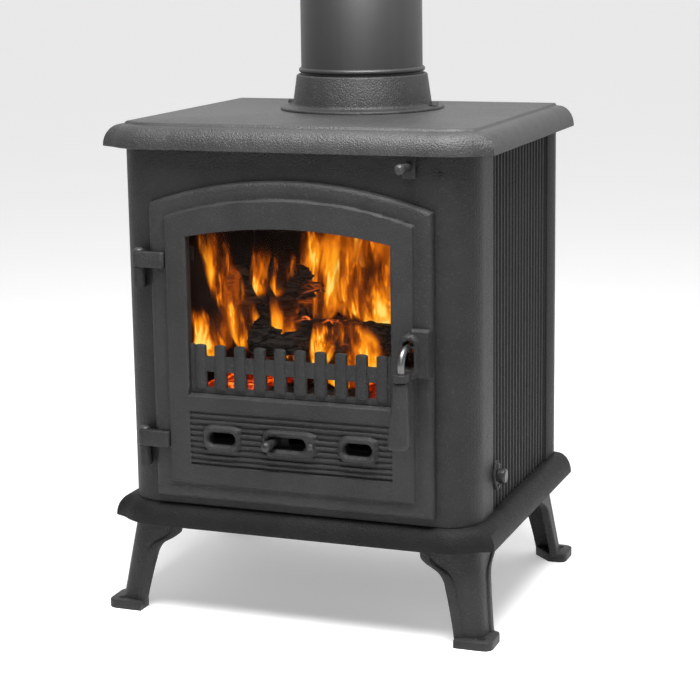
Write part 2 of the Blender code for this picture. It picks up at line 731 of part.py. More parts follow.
def door_glass():
    """The pane, the flat gasket round it, and the clips that hold both to the back of the door."""
    pane = arched(0.1135, GLASS_SILL - 0.008, GLASS_SPRING + 0.006, GLASS_CROWN + 0.006)
    opening = arched(0.1085, GLASS_SILL - 0.002, GLASS_SPRING + 0.001, GLASS_CROWN + 0.001)
    gasket = sheet("glass_gasket", [pane, opening], DOOR_BACK + GAP, DOOR_BACK + 0.0023, upright=True)
    part(gasket, DOOR, color=(0.45, 0.43, 0.40), roughness=0.95, metallic=0)
    glass = sheet("door_glass", [pane], DOOR_BACK + 0.0026, GLASS_BACK, upright=True)
    part(glass, DOOR, color=(0.8, 0.8, 0.8), roughness=0.05, metallic=0)
    for side_name, side in (("left", -1), ("right", 1)):
        for level_name, z in (("lower", 0.246), ("upper", 0.372)):
            outline = [(side * x, y) for x, y in ((0.1060, GLASS_BACK + GAP), (0.1145, GLASS_BACK + GAP),
                       (0.1145, DOOR_BACK + GAP), (0.1210, DOOR_BACK + GAP), (0.1210, DOOR_BACK + 0.0022),
                       (0.1163, DOOR_BACK + 0.0022), (0.1163, GLASS_BACK + 0.0021), (0.1060, GLASS_BACK + 0.0021))]
            clip = sheet(f"glass_clip_{level_name}_{side_name}", [outline], z - 0.007, z + 0.007)
            part(clip, DOOR, color=(0.3, 0.3, 0.3), roughness=0.4, metallic=0.9)


def door_rope():
    route = upright_ring(door_outline(ROPE_INSET), -0.1520)
    rope = wire("door_rope", route, 0.0026, closed=True, sides=1)
    part(rope, DOOR, color=(0.16, 0.155, 0.15), roughness=1, metallic=0)


SLIDER_LOW, SLIDER_HIGH = 0.178, 0.202
SLIDER_FACE = DOOR_BACK + GAP
SLIDER_BACK = SLIDER_FACE + 0.0025


def slider_guides():
    """Two channels on the back of the door that the air slider runs in."""
    for name, edge, way in (("slider_guide_upper", SLIDER_HIGH, 1), ("slider_guide_lower", SLIDER_LOW, -1)):
        section = [(SLIDER_FACE, edge + way * 0.0004), (SLIDER_FACE, edge + way * 0.006),
                   (SLIDER_BACK + 0.0022, edge + way * 0.006), (SLIDER_BACK + 0.0022, edge - way * 0.0035),
                   (SLIDER_BACK + 0.0004, edge - way * 0.0035), (SLIDER_BACK + 0.0004, edge + way * 0.0004)]
        guide = loft(name, [[(x, y, z) for y, z in section] for x in (-0.121, 0.122)])
        part(guide, DOOR, roughness=0.5)


AIR = empty("air_slider_axis", (AIR_KNOB_X, DOOR_PANEL, SLOT_Z), DOOR)
KNOB_PROFILE = ((0, 0.0044), (0.006, 0.0040), (0.012, 0.0046), (0.016, 0.0053), (0.0185, 0.0053),
                (0.0205, 0.0042), (0.0212, 0.0022))


def turned_knob(name, x, base_y, z, reach, profile=KNOB_PROFILE):
    """A round peg that swells to a domed end, pointing out of the front."""
    stretch = reach / profile[-1][0]
    rings = []
    for along, radius in profile:
        circle = arc((x, z), radius, 0, 360 - 360 / 14, 13)
        rings.append([(u, base_y - along * stretch, v) for u, v in circle])
    return loft(name, rings)


def air_slider():
    plate = [(-0.119, SLIDER_LOW), (0.091, SLIDER_LOW), (0.091, SLIDER_HIGH), (-0.119, SLIDER_HIGH)]
    holes = [stadium(-SLOT_SPACING, SLOT_Z, SLOT_HALF, SLOT_RADIUS), stadium(0.006, SLOT_Z, 0.0115, SLOT_RADIUS),
             stadium(SLOT_SPACING, SLOT_Z, SLOT_HALF, SLOT_RADIUS)]
    slider = sheet("air_slider", [plate] + holes, SLIDER_FACE, SLIDER_BACK, upright=True)
    part(slider, AIR, roughness=0.5)
    knob = turned_knob("air_slider_knob", AIR_KNOB_X, SLIDER_FACE - GAP, SLOT_Z, 0.0325)
    part(knob, AIR, roughness=0.35, metallic=0.8)
    screw = rod("slot_screw", (0.0238, DOOR_PANEL - 0.0040 - GAP, SLOT_Z),
                (0.0238, DOOR_PANEL - 0.0060, SLOT_Z), 0.0030, 0.0022, segments=12)
    part(screw, DOOR, roughness=0.35, metallic=0.8)


# ---------------------------------------------------------------- latch handle
LATCH = empty("handle_axis", (LATCH_X, *LATCH_PIVOT), DOOR)
GRIP_TOP_Y = -0.186
GRIP_FOOT_Y = -0.1945


def handle():
    pivot_y, pivot_z = LATCH_PIVOT
    bend = arc((GRIP_TOP_Y + 0.014, pivot_z - 0.014), 0.014, 90, 180, 5)
    route = [(-0.1415, pivot_z)] + bend + [(GRIP_TOP_Y, 0.2742)]
    bar = wire("handle_rod", [(LATCH_X, y, z) for y, z in route], 0.0036)
    cut(bar, rod("rod_hole", (LATCH_X - 0.006, pivot_y, pivot_z), (LATCH_X + 0.006, pivot_y, pivot_z),
                 0.0016, segments=12))
    part(bar, LATCH, color=(0.3, 0.3, 0.3), roughness=0.25, metallic=1)
    ferrule = rod("handle_ferrule", (LATCH_X, GRIP_TOP_Y, 0.2668), (LATCH_X, GRIP_TOP_Y, 0.2739), 0.0084, 0.0081)
    part(ferrule, LATCH, roughness=0.4, metallic=0.6)
    levels = ((0.2665, 0.0070, 0.0066), (0.258, 0.0074, 0.0068), (0.235, 0.0090, 0.0075),
              (0.212, 0.0107, 0.0082), (0.2065, 0.0109, 0.0083), (0.2035, 0.0098, 0.0072))
    rings = []
    for z, half_x, half_y in levels:
        share = (0.2665 - z) / (0.2665 - 0.2035)
        middle = GRIP_TOP_Y + (GRIP_FOOT_Y - GRIP_TOP_Y) * share
        circle = arc((0, 0), 1, 0, 360 - 360 / 16, 15)
        rings.append([(LATCH_X + half_x * u, middle + half_y * v, z) for u, v in circle])
    part(loft("handle_grip", rings), LATCH, roughness=0.5)
    pin = rod("latch_pin", (LATCH_X - 0.008, pivot_y, pivot_z), (LATCH_X + 0.008, pivot_y, pivot_z), 0.0013, segments=12)
    part(pin, DOOR, roughness=0.4, metallic=0.9)
    part(box("latch_tongue", (0.1212, -0.1412, 0.2910), (0.1264, -0.1362, 0.3020)), LATCH, roughness=0.5)
    keeper = sheet("latch_keeper", [[(0.132, -0.1427), (0.148, -0.1427), (0.148, -0.1395), (0.138, -0.1395),
                   (0.138, -0.1335), (0.132, -0.1335)]], 0.283, 0.305)
    part(keeper, roughness=0.5)


def hinge_pins():
    for name, (low, high) in zip(("hinge_pin_upper", "hinge_pin_lower"), HINGE_STRAPS):
        start = (HINGE_X, HINGE_Y, low - HINGE_LUG_DROP + 0.0045)
        pin = rod(name, start, (HINGE_X, HINGE_Y, high + 0.0012), PIN_RADIUS, segments=16)
        join(pin, rod("pin_head", (HINGE_X, HINGE_Y, high + GAP), (HINGE_X, HINGE_Y, high + 0.0035), 0.0052, 0.003))
        part(pin, roughness=0.4, metallic=0.7)


# ---------------------------------------------------------------- airwash control under the hob
WASH = empty("airwash_axis", (0.124, -0.151, 0.466), STOVE)


def airwash():
    """A strip that slides between the body and the hob skirt, with a tab that hangs below."""
    back, front = BODY_FRONT - 0.0004, BODY_FRONT - 0.0036
    outline = [(0.045, 0.478), (0.1168, 0.478), (0.1168, 0.4575), (0.1203, 0.454), (0.1267, 0.454),
               (0.1302, 0.4575), (0.1302, 0.487), (0.045, 0.487)]
    slider = sheet("airwash_slider", [outline], front, back, upright=True)
    part(slider, WASH, roughness=0.5)
    knob = turned_knob("airwash_knob", 0.1235, front - GAP, 0.4655, 0.030)
    part(knob, WASH, roughness=0.35, metallic=0.8)


# ---------------------------------------------------------------- inside the stove
def firebricks():
    color = (0.42, 0.36, 0.28)
    for name, low, high in (("firebrick_left", -0.1725, -0.1495), ("firebrick_right", 0.1495, 0.1725)):
        brick = box(name, (low, -0.098, GRATE_TOP + GAP), (high, 0.106, 0.400))
        part(brick, color=color, roughness=1, metallic=0)
    rear = box("firebrick_rear", (-0.145, 0.112, GRATE_TOP + GAP), (0.145, 0.137, 0.400))
    part(rear, color=color, roughness=1, metallic=0)


def baffle_plate():
    """A throat plate that rests on the bricks and rises towards the door."""
    side = [(0.112, 0.4003), (-0.060, 0.4003), (-0.100, 0.428), (-0.097, 0.431), (-0.0585, 0.4043),
            (0.112, 0.4043)]
    part(loft("baffle_plate", [[(x, y, z) for y, z in side] for x in (-0.171, 0.171)]), roughness=0.7)


def grate():
    corner = [(0.146, -0.138), (0.146, -0.100), (0.174, -0.100), (0.174, 0.108), (0.146, 0.108), (0.146, 0.146)]
    outline = corner + mirrored(corner)
    frame = loft("grate_frame", [[(x, y, z) for x, y in outline] for z in (LEDGE_TOP + GAP, GRATE_TOP)])
    cut(frame, box("grate_seat", (-0.093, -0.068, 0.206), (0.093, 0.068, GRATE_TOP + 0.002)))
    cut(frame, box("grate_hole", (-0.070, -0.060, LEDGE_TOP - 0.002), (0.070, 0.060, 0.210)))
    part(frame, roughness=0.8)
    bars = [(-0.080, -0.066), (0.079, -0.066), (0.079, 0.066), (-0.080, 0.066)]
    slots = []
    for i in range(7):
        x = -0.0605 + 0.0200 * i
        slots.append([(x - 0.0035, -0.055), (x + 0.0035, -0.055), (x + 0.0035, 0.055), (x - 0.0035, 0.055)])
    part(sheet("riddling_grate", [bars] + slots, 0.206 + GAP, GRATE_TOP - 0.0005), RIDDLE, roughness=0.8)
    route = [(0.1888, RIDDLE_Y, RIDDLE_Z), (0.150, RIDDLE_Y, RIDDLE_Z), (0.150, RIDDLE_Y, 0.192),
             (0.150, -0.040, 0.192), (0.0495, -0.040, 0.192), (0.0495, -0.040, 0.206)]
    part(wire("riddle_rod", route, 0.004, sides=1), RIDDLE, color=(0.2, 0.2, 0.2), roughness=0.5, metallic=0.8)
    knob = rod("riddle_knob", (0.1891, RIDDLE_Y, RIDDLE_Z), (0.1955, RIDDLE_Y, RIDDLE_Z), 0.0072, 0.0070)
    join(knob, rod("knob_face", (0.195, RIDDLE_Y, RIDDLE_Z), (0.1968, RIDDLE_Y, RIDDLE_Z), 0.0070, 0.0055))
    part(knob, RIDDLE, roughness=0.45, metallic=0.6)


RIDDLE = empty("riddle_axis", (0.186, RIDDLE_Y, RIDDLE_Z), STOVE)


def riddle_escutcheon():
    """A lozenge plate round the riddling rod, with a screw above and below."""
    top = arc((RIDDLE_Y, RIDDLE_Z + 0.0125), 0.0028, 30, 150, 4)
    rear = arc((RIDDLE_Y - 0.001, RIDDLE_Z), 0.0095, 150, 210, 4)
    bottom = arc((RIDDLE_Y, RIDDLE_Z - 0.0125), 0.0028, 210, 330, 4)
    front = arc((RIDDLE_Y + 0.001, RIDDLE_Z), 0.0095, -30, 30, 4)
    lozenge = top + rear + bottom + front
    face = BODY_HALF_WIDTH + GAP
    plate = loft("riddle_escutcheon", [[(x, y, z) for y, z in lozenge] for x in (face, face + 0.0027)])
    start = (face - 0.002, RIDDLE_Y, RIDDLE_Z)
    cut(plate, rod("escutcheon_hole", start, (face + 0.005, RIDDLE_Y, RIDDLE_Z), 0.0048, segments=18))
    part(plate)
    for name, way in (("escutcheon_screw_upper", 1), ("escutcheon_screw_lower", -1)):
        z = RIDDLE_Z + way * 0.0108
        start = (face + 0.0027 + GAP, RIDDLE_Y, z)
        screw = rod(name, start, (start[0] + 0.0012, RIDDLE_Y, z), 0.0022, 0.0016, segments=10)
        part(screw, color=(0.1, 0.1, 0.1), roughness=0.4, metallic=0.8)


def ash_pan():
    """A folded tray on the base plate's runners: an open box with Solidify for its sheet."""
    low, high = (-0.098, -0.132, RUNNER_TOP + 0.0018), (0.098, 0.100, 0.183)
    shape = bmesh.new()
    size = [b - a for a, b in zip(low, high)]
    middle = [(a + b) / 2 for a, b in zip(low, high)]
    bmesh.ops.create_cube(shape, size=1, matrix=Matrix.Translation(middle) @ Matrix.Diagonal((*size, 1)))
    lid = [face for face in shape.faces if face.normal.z > 0.5]
    bmesh.ops.delete(shape, geom=lid, context="FACES_ONLY")
    pan = finish_mesh("ash_pan", shape)
    wall = pan.modifiers.new("sheet", "SOLIDIFY")
    wall.thickness = 0.0015
    wall.offset = 0
    wall.use_even_offset = True
    part(pan, color=(0.12, 0.12, 0.12), roughness=0.5, metallic=0.7)


def log(name, start, end, radius, seed, color):
    """A split log: a rounded, slightly uneven section carried between two ends."""
    run = Vector(end) - Vector(start)
    across = run.cross(Vector((0, 0, 1))).normalized()
    lift = across.cross(run).normalized()
    rings = []
    for i, swell in enumerate((0.86, 1.0, 0.97, 1.03, 0.98, 0.88)):
        center = Vector(start) + run * i / 5
        ring = []
        for k in range(12):
            angle = 2 * pi * k / 12
            size = radius * swell * (1 + 0.10 * sin(3 * angle + seed) + 0.05 * sin(5 * angle + 2 * seed + i))
            ring.append(center + across * size * cos(angle) + lift * size * sin(angle))
        rings.append(ring)
    part(loft(name, rings), color=color, roughness=1, metallic=0)


def fuel():
    """Logs on a bed of embers on the grate."""
    bed = arched(0.138, -0.095, 0.085, 0.100)
    shrunk = inset(bed, 0.020)
    rings = [[(x, y, GRATE_TOP + 0.0004) for x, y in bed], [(x, y, 0.223) for x, y in inset(bed, 0.004)],
             [(x, y, 0.2275) for x, y in shrunk]]
    part(loft("ember_bed", rings), color=(0.12, 0.03, 0.01), roughness=1, metallic=0)
    char = (0.03, 0.028, 0.026)
    log("log_front", (-0.075, -0.062, 0.268), (0.118, -0.055, 0.2665), 0.0305, 0.4, char)
    log("log_rear", (-0.128, 0.030, 0.268), (0.070, 0.050, 0.268), 0.030, 2.1, char)
    log("log_top", (-0.120, -0.030, 0.3205), (0.085, 0.035, 0.3255), 0.0225, 4.0, char)


# ---------------------------------------------------------------- assembly
base_plate()
for corner, side, end in tie_points():
    leg(f"leg_{corner}", side, end)
    tie_bolt(f"tie_bolt_{corner}", side, end)
front_casting()
side_panel("side_panel_left", -1)
side_panel("side_panel_right", 1)
back_panel()
hob_plate()
flue()
door_casting()
log_fence()
door_glass()
door_rope()
slider_guides()
air_slider()
handle()
hinge_pins()
airwash()
firebricks()
baffle_plate()
grate()
riddle_escutcheon()
ash_pan()
fuel()

# The castings were drawn in their own frame: set the finished stove over the world origin.
STOVE.location = (0, -(FRONT_REACH + LEG_REACH) / 2, 0)
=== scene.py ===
"""Looks for a small cast-iron wood burning stove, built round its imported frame.

Lengths are in metres. The frame's origin is on the floor; the door faces -Y and +Z is up.
"""

import bpy
import numpy as np
from bpy.props import FloatProperty, FloatVectorProperty, PointerProperty
from mathutils import Matrix, Vector


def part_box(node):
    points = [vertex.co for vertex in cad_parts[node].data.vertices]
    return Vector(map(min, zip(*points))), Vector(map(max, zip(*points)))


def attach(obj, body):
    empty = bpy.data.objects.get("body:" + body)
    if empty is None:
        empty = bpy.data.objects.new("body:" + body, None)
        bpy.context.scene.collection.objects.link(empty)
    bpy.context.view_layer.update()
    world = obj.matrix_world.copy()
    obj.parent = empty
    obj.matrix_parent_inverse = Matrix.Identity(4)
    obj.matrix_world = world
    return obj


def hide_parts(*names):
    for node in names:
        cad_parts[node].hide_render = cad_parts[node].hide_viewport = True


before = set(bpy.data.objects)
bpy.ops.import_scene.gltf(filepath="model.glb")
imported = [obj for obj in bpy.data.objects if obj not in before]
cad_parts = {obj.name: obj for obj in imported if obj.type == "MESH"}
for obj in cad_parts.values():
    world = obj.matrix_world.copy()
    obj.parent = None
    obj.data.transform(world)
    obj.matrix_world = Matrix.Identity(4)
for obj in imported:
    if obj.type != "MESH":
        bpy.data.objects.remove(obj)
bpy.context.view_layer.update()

bl_info = {
    "name": "Wood Burning Stove",
    "version": (1, 0, 0),
    "blender": (4, 5, 0),
    "location": "3D View > Sidebar > Stove",
    "description": "Builds the visible castings, fittings and fire of a small wood burning stove",
    "category": "Add Mesh",
}

TAU = 2 * np.pi
MM = 0.001
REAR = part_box("base_plate")[1][1]          # the plates' rear edge
Y0 = REAR - 0.160                          # origin of the castings' own frame, in Y
LIP_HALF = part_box("base_plate")[1][0]
BASE_LIP = 0.094
BASE_TOP = 0.116
HOB_LIP = 0.4765
HOB_SHOULDER = 0.4977
HOB_TOP = 0.5005
FLUE = np.array([0.0, 0.0597])

# half width, bottom, spring line and crown of the arched shapes
DOOR = (0.1475, 0.124, 0.423, 0.4484)
WINDOW = (0.1065, 0.234, 0.391, 0.402)
DOOR_BACK = -0.1495
# height of each feature over the door's back face, in mm
FOOT, BORDER, PANEL, BOSS, PAD, LATCH_BOSS = 2.6, 7.8, 10.5, 14.6, 13.0, 16.4
RIB_PANEL = (0.107, 0.1602, 0.2188)        # half width, bottom, top
RIB_PITCH = 0.00586
ROPE_INSET = 0.0095
SLOT_Z = 0.190
AIR_SLOTS = ((-0.072, 0.01445), (-0.00275, 0.02025), (0.072, 0.01445))     # middle, half length
AIR_BOSSES = ((-0.072, 0.0213), (0.0, 0.0292), (0.072, 0.0213))
LATCH_X = 0.1257
LATCH_PIVOT_Z = 0.2952
HANDLE_Y = -0.186
HINGE = (-0.1593, -0.1553)
STRAPS = {"upper": (0.3585, 0.3745), "lower": (0.176, 0.1925)}             # bottom, top
RIDDLER = (-0.076, 0.152)                  # Y and Z of the riddling rod
CORNERS = {"front_left": (-1, 1), "front_right": (1, 1), "rear_left": (-1, -1), "rear_right": (1, -1)}


# ------------------------------------------------------------------ shader maths
class Value:
    """One socket of a node tree. Arithmetic on it adds Math nodes."""

    def __init__(self, net, socket):
        self.net = net
        self.socket = socket

    def _math(self, operation, first, second):
        return self.net.node("ShaderNodeMath", {"operation": operation}, (first, second))

    def __add__(self, other):
        return self._math("ADD", self, other)

    def __sub__(self, other):
        return self._math("SUBTRACT", self, other)

    def __rsub__(self, other):
        return self._math("SUBTRACT", other, self)

    def __mul__(self, other):
        return self._math("MULTIPLY", self, other)

    def __pow__(self, other):
        return self._math("POWER", self, other)

    __radd__ = __add__
    __rmul__ = __mul__

    def ramp(self, low, high):
        """0 below low, 1 above high, smooth between."""
        settings = {"interpolation_type": "SMOOTHSTEP"}
        return self.net.node("ShaderNodeMapRange", settings, {"Value": self, "From Min": low, "From Max": high})


class Finish:
    """A procedural material: the tree, its shader, and the few nodes that the finishes share."""

    def __init__(self, name):
        self.material = bpy.data.materials.new(name)
        self.material.use_nodes = True
        self.tree = self.material.node_tree
        self.shader = self.tree.nodes["Principled BSDF"]
        self.place = self.node("ShaderNodeTexCoord", {}, {}, "Object")

    def node(self, kind, settings, inputs, output=0):
        """Add a node, set it up first, then give its inputs values or links, by name or in order."""
        made = self.tree.nodes.new(kind)
        for key, setting in settings.items():
            if key == "stops":
                self._stops(made.color_ramp, setting)
            else:
                setattr(made, key, setting)
        pairs = inputs.items() if isinstance(inputs, dict) else enumerate(inputs)
        for key, given in pairs:
            self.feed(made.inputs[key], given)
        return Value(self, made.outputs[output])

    def _stops(self, ramp, stops):
        while len(ramp.elements) < len(stops):
            ramp.elements.new(1.0)
        for element, (position, color) in zip(ramp.elements, stops):
            element.position = position
            element.color = (*color, 1.0)

    def feed(self, socket, given):
        if isinstance(given, Value):
            self.tree.links.new(given.socket, socket)
        elif socket.type == "RGBA" and len(given) == 3:
            socket.default_value = (*given, 1.0)
        else:
            socket.default_value = given

    def stretch(self, scale, place=None):
        return self.node("ShaderNodeMapping", {}, {"Vector": place or self.place, "Scale": scale})

    def noise(self, scale, detail=2.0, place=None, distortion=0.0, rough=0.5):
        given = {"Vector": place or self.place, "Scale": scale, "Detail": detail,
                 "Distortion": distortion, "Roughness": rough}
        return self.node("ShaderNodeTexNoise", {}, given)

    def cells(self, scale, feature="F1", place=None):
        given = {"Vector": place or self.place, "Scale": scale}
        return self.node("ShaderNodeTexVoronoi", {"feature": feature}, given)

    def mix(self, factor, first, second):
        given = {0: factor, 6: first, 7: second}
        return self.node("ShaderNodeMix", {"data_type": "RGBA"}, given, 2)

    def colors(self, factor, stops):
        return self.node("ShaderNodeValToRGB", {"stops": stops}, {"Fac": factor})

    def bump(self, height, distance, strength=1.0):
        return self.node("ShaderNodeBump", {}, {"Strength": strength, "Distance": distance, "Height": height})

    def done(self, **sockets):
        """Feed the shader: underscores stand for the spaces in a socket's name."""
        for key, given in sockets.items():
            self.feed(self.shader.inputs[key.replace("_", " ")], given)
        return self.material


FINISHES = {}


def finish(name, maker, *details):
    """Each finish is made once, on first use."""
    if name not in FINISHES:
        FINISHES[name] = maker(name, *details)
    return FINISHES[name]


def gray(value):
    return (value, value, value * 1.01)


def cast_iron(name, tone, roughness, grain, shine):
    """Painted sand casting: a coarse grit, shallow pits, slow waves, and patchy satin paint."""
    settings = bpy.context.scene.stove
    f = Finish(name)
    grit = f.noise(560, 3.0, rough=0.62)
    pits = f.cells(430).ramp(0.05, 0.55)
    waves = f.noise(75, 3.0)
    slow = f.noise(22, 2.0)
    patches = f.noise(13, 5.0, rough=0.66)
    specks = f.noise(480, 2.0).ramp(0.57, 0.72)
    # tone scales the paint colour: raised on the hob as a painted highlight, lowered on the base, sides and
    # front casting as painted shade
    r, g, b = [c * tone for c in settings.iron_color]
    body = f.mix(patches.ramp(0.25, 0.78), (r * 0.68, g * 0.68, b * 0.68), (r * 1.30, g * 1.30, b * 1.30))
    color = f.mix(specks * 0.55, body, (r * 2.6, g * 2.6, b * 2.6))
    height = grit * (0.85 * grain) + pits * (0.30 * grain) + waves * 0.6 + slow * 1.4
    rough = roughness - 0.12 + patches * 0.14 + grit * 0.12
    return f.done(Base_Color=color, Roughness=rough, Metallic=0.0, Specular_IOR_Level=shine,
                  Normal=f.bump(height, 0.00085 * settings.grit, 1.0))


def pipe_paint(name):
    """Smooth drawn pipe under satin stove paint, with faint vertical streaks."""
    f = Finish(name)
    streaks = f.noise(26, 3.0, f.stretch((5.0, 5.0, 0.25)))
    fine = f.noise(1700, 1.0)
    color = f.mix(streaks, gray(0.016), gray(0.022))
    return f.done(Base_Color=color, Roughness=0.40 + fine * 0.10 + streaks * 0.06,
                  Specular_IOR_Level=0.5, Normal=f.bump(fine, 0.00010, 0.6))


def bright_steel(name):
    """Turned steel with fine marks and a little grime."""
    f = Finish(name)
    marks = f.noise(900, 2.0, f.stretch((1.0, 1.0, 0.12)))
    grime = f.noise(70, 3.0).ramp(0.42, 0.80)
    color = f.mix(grime * 0.75 + 0.1, (0.22, 0.22, 0.217), (0.07, 0.069, 0.067))
    return f.done(Base_Color=color, Metallic=1.0, Roughness=0.27 + marks * 0.14 + grime * 0.16,
                  Normal=f.bump(marks, 0.00004, 0.5))


def dark_steel(name, tone, roughness):
    """Blackened or drawn steel for bolts, rods and clips, and the near-black painted shade of the discs in the
    pad holes.
    """
    f = Finish(name)
    fine = f.noise(800, 2.0)
    patches = f.noise(60, 3.0)
    color = f.mix(patches, gray(tone * 0.7), gray(tone * 1.3))
    return f.done(Base_Color=color, Metallic=0.6, Roughness=roughness - 0.06 + fine * 0.16,
                  Normal=f.bump(fine, 0.00008, 0.7))


def clear_glass(name):
    """Thin ceramic glass: nearly clear, slightly smoked, with a faint patchy haze of soot."""
    f = Finish(name)
    haze = f.noise(18, 4.0).ramp(0.45, 0.85)
    material = f.done(Base_Color=(0.012, 0.010, 0.009), Roughness=0.03 + haze * 0.04,
                      Alpha=0.14 + haze * 0.05, Specular_IOR_Level=0.14)
    material.surface_render_method = "BLENDED"
    return material


def fibre(name, color, scale=600):
    """Braided glass fibre: crossing threads."""
    f = Finish(name)
    threads = f.cells(scale)
    fuzz = f.noise(scale * 3, 2.0)
    shade = f.mix(threads, tuple(c * 0.6 for c in color), color)
    return f.done(Base_Color=shade, Roughness=0.95, Normal=f.bump(threads + fuzz * 0.4, 0.0006))


def sooty_board(name):
    """Vermiculite board blackened by soot, paler in patches."""
    f = Finish(name)
    soot = f.noise(14, 5.0, rough=0.6).ramp(0.35, 0.75)
    flakes = f.cells(330)
    color = f.mix(soot, (0.006, 0.0055, 0.005), (0.024, 0.019, 0.015))
    return f.done(Base_Color=color, Roughness=0.95, Normal=f.bump(flakes, 0.0008))


def charred_wood(name):
    """Charcoal blocks between cracks that run along and across the log, with ash, painted shade in the cracks,
    and a dull glow.
    """
    f = Finish(name)
    along = f.stretch((0.45, 1.0, 1.0))
    bent = f.noise(30, 3.0)
    warp = f.node("ShaderNodeVectorMath", {"operation": "MULTIPLY_ADD"}, (bent, (0.02, 0.02, 0.02), along))
    cracks = f.cells(85, "DISTANCE_TO_EDGE", warp).ramp(0.0, 0.10)
    fibres = f.noise(260, 4.0, f.stretch((0.10, 1.0, 1.0)))
    ash = f.noise(22, 4.0).ramp(0.58, 0.76)
    color = f.mix(fibres.ramp(0.3, 0.7), (0.012, 0.010, 0.009), (0.105, 0.080, 0.062))
    color = f.mix(ash * 0.5, color, (0.16, 0.14, 0.12))
    # painted shade in the crevices: the cracks are darkened to near-black
    color = f.mix(cracks, (0.004, 0.003, 0.003), color)
    heat = f.noise(16, 3.0).ramp(0.50, 0.74)
    glow = f.mix((1 - cracks) * heat, (0.0, 0.0, 0.0), (1.0, 0.16, 0.015))
    return f.done(Base_Color=color, Roughness=0.92, Emission_Color=glow, Emission_Strength=3.0,
                  Normal=f.bump(cracks * 1.2 + fibres * 0.8, 0.0030))


def glowing_embers(name):
    """Broken charcoal that glows between its lumps and carries grey ash on top."""
    f = Finish(name)
    lumps = f.cells(95, "DISTANCE_TO_EDGE").ramp(0.0, 0.22)
    heat = f.noise(34, 4.0, rough=0.6) * f.noise(13, 1.0).ramp(0.36, 0.60)
    ash = f.noise(60, 4.0).ramp(0.5, 0.75)
    coal = f.mix(ash, (0.02, 0.012, 0.008), (0.13, 0.10, 0.08))
    fire = f.colors((1 - lumps * 0.55) * heat.ramp(0.22, 0.72),
                    [(0.0, (0.0, 0.0, 0.0)), (0.35, (0.30, 0.012, 0.0)), (0.62, (1.0, 0.10, 0.005)),
                     (0.85, (1.0, 0.35, 0.04)), (1.0, (1.0, 0.62, 0.18))])
    return f.done(Base_Color=coal, Roughness=0.9, Emission_Color=fire, Emission_Strength=1.5,
                  Normal=f.bump(lumps, 0.004))


def flame(name):
    """A tongue of fire on a thin sheet's two faces: torn streaks that rise, fading at the sides and the tip.

    The sheet's map runs from 0 to 1 across and up.
    """
    settings = bpy.context.scene.stove
    f = Finish(name)
    where = f.node("ShaderNodeUVMap", {"uv_map": "flame"}, {})
    split = f.node("ShaderNodeSeparateXYZ", {}, (where,), 0)
    across, up = split, Value(f, split.socket.node.outputs[1])
    rise = f.stretch((30.0, 30.0, 7.5))
    curl = f.noise(1.0, 2.0, rise)
    shift = f.node("ShaderNodeVectorMath", {"operation": "MULTIPLY_ADD"}, (curl, (0.55, 0.55, 0.55), rise))
    streaks = f.noise(1.15, 5.0, shift, 0.35, 0.52)
    threads = f.noise(4.2, 4.0, shift, 0.3, 0.6)
    side = (across - 0.5 + (curl - 0.5) * 0.55 * up) * 2.0
    belly = 1 - side * side
    core = belly.ramp(0.0, 0.85)
    tip = 1 - (up + (streaks - 0.5) * 0.75).ramp(0.60, 1.06)
    foot = up.ramp(0.0, 0.14)
    body = streaks.ramp(0.35, 0.62)
    mask = core * tip * foot * (0.20 + body * 0.72 + threads.ramp(0.45, 0.75) * 0.40)
    heat = mask * (0.30 + streaks.ramp(0.44, 0.68) * 0.75 + threads.ramp(0.48, 0.76) * 0.55) - up * 0.20 + 0.06
    color = f.colors(heat, [(0.0, (0.06, 0.009, 0.0)), (0.18, (0.30, 0.050, 0.001)),
                            (0.42, (0.76, 0.180, 0.003)), (0.68, (1.0, 0.38, 0.010)),
                            (0.96, (1.0, 0.68, 0.13))])
    material = f.done(Base_Color=(0.0, 0.0, 0.0), Roughness=1.0, Specular_IOR_Level=0.0,
                      Emission_Color=color, Emission_Strength=settings.flame_glow,
                      Alpha=1 - (1 - mask.ramp(0.06, 0.80)) ** 0.5)
    material.surface_render_method = "BLENDED"
    return material


def pale_floor(name):
    """Seamless pale studio floor with a barely visible mottle."""
    f = Finish(name)
    mottle = f.noise(3, 3.0)
    color = f.mix(mottle, (0.86, 0.86, 0.86), (0.90, 0.90, 0.90))
    return f.done(Base_Color=color, Roughness=0.85, Specular_IOR_Level=0.2, Emission_Color=(1, 1, 1),
                  Emission_Strength=0.30)


# ------------------------------------------------------------------ outlines and fields
def ramp(value, low, high):
    """Smooth step: 3t^2 - 2t^3 of the value's share of the way from low to high."""
    t = np.clip((value - low) / (high - low), 0, 1)
    return t * t * (3 - 2 * t)


def arc(center, radius, start, end, steps):
    """Points (cos a, sin a) * radius about a centre, angles in degrees, both ends kept."""
    a = np.radians(np.linspace(start, end, steps + 1))
    return np.stack([center[0] + radius * np.cos(a), center[1] + radius * np.sin(a)], 1)


def mirror(points):
    return points[::-1] * np.array([-1, 1])


def inset(path, distance, closed=True):
    """Each point moves along the mitre of its two edges' left normals, over their mean's length squared."""
    step = np.roll(path, -1, 0) - path
    normal = np.stack([-step[:, 1], step[:, 0]], 1)
    normal /= np.linalg.norm(normal, axis=1, keepdims=True)
    last = np.roll(normal, 1, 0)
    if not closed:
        normal[-1] = normal[-2]
        last[0] = normal[0]
    total = normal + last
    return path + total * distance * 2 / (total ** 2).sum(1, keepdims=True)


def lines(*spans):
    """Grid lines: (start, end, step) spans joined without repeats."""
    parts = [np.linspace(a, b, max(int(round((b - a) / s)), 1) + 1)[:-1] for a, b, s in spans]
    return np.concatenate(parts + [[spans[-1][1]]])


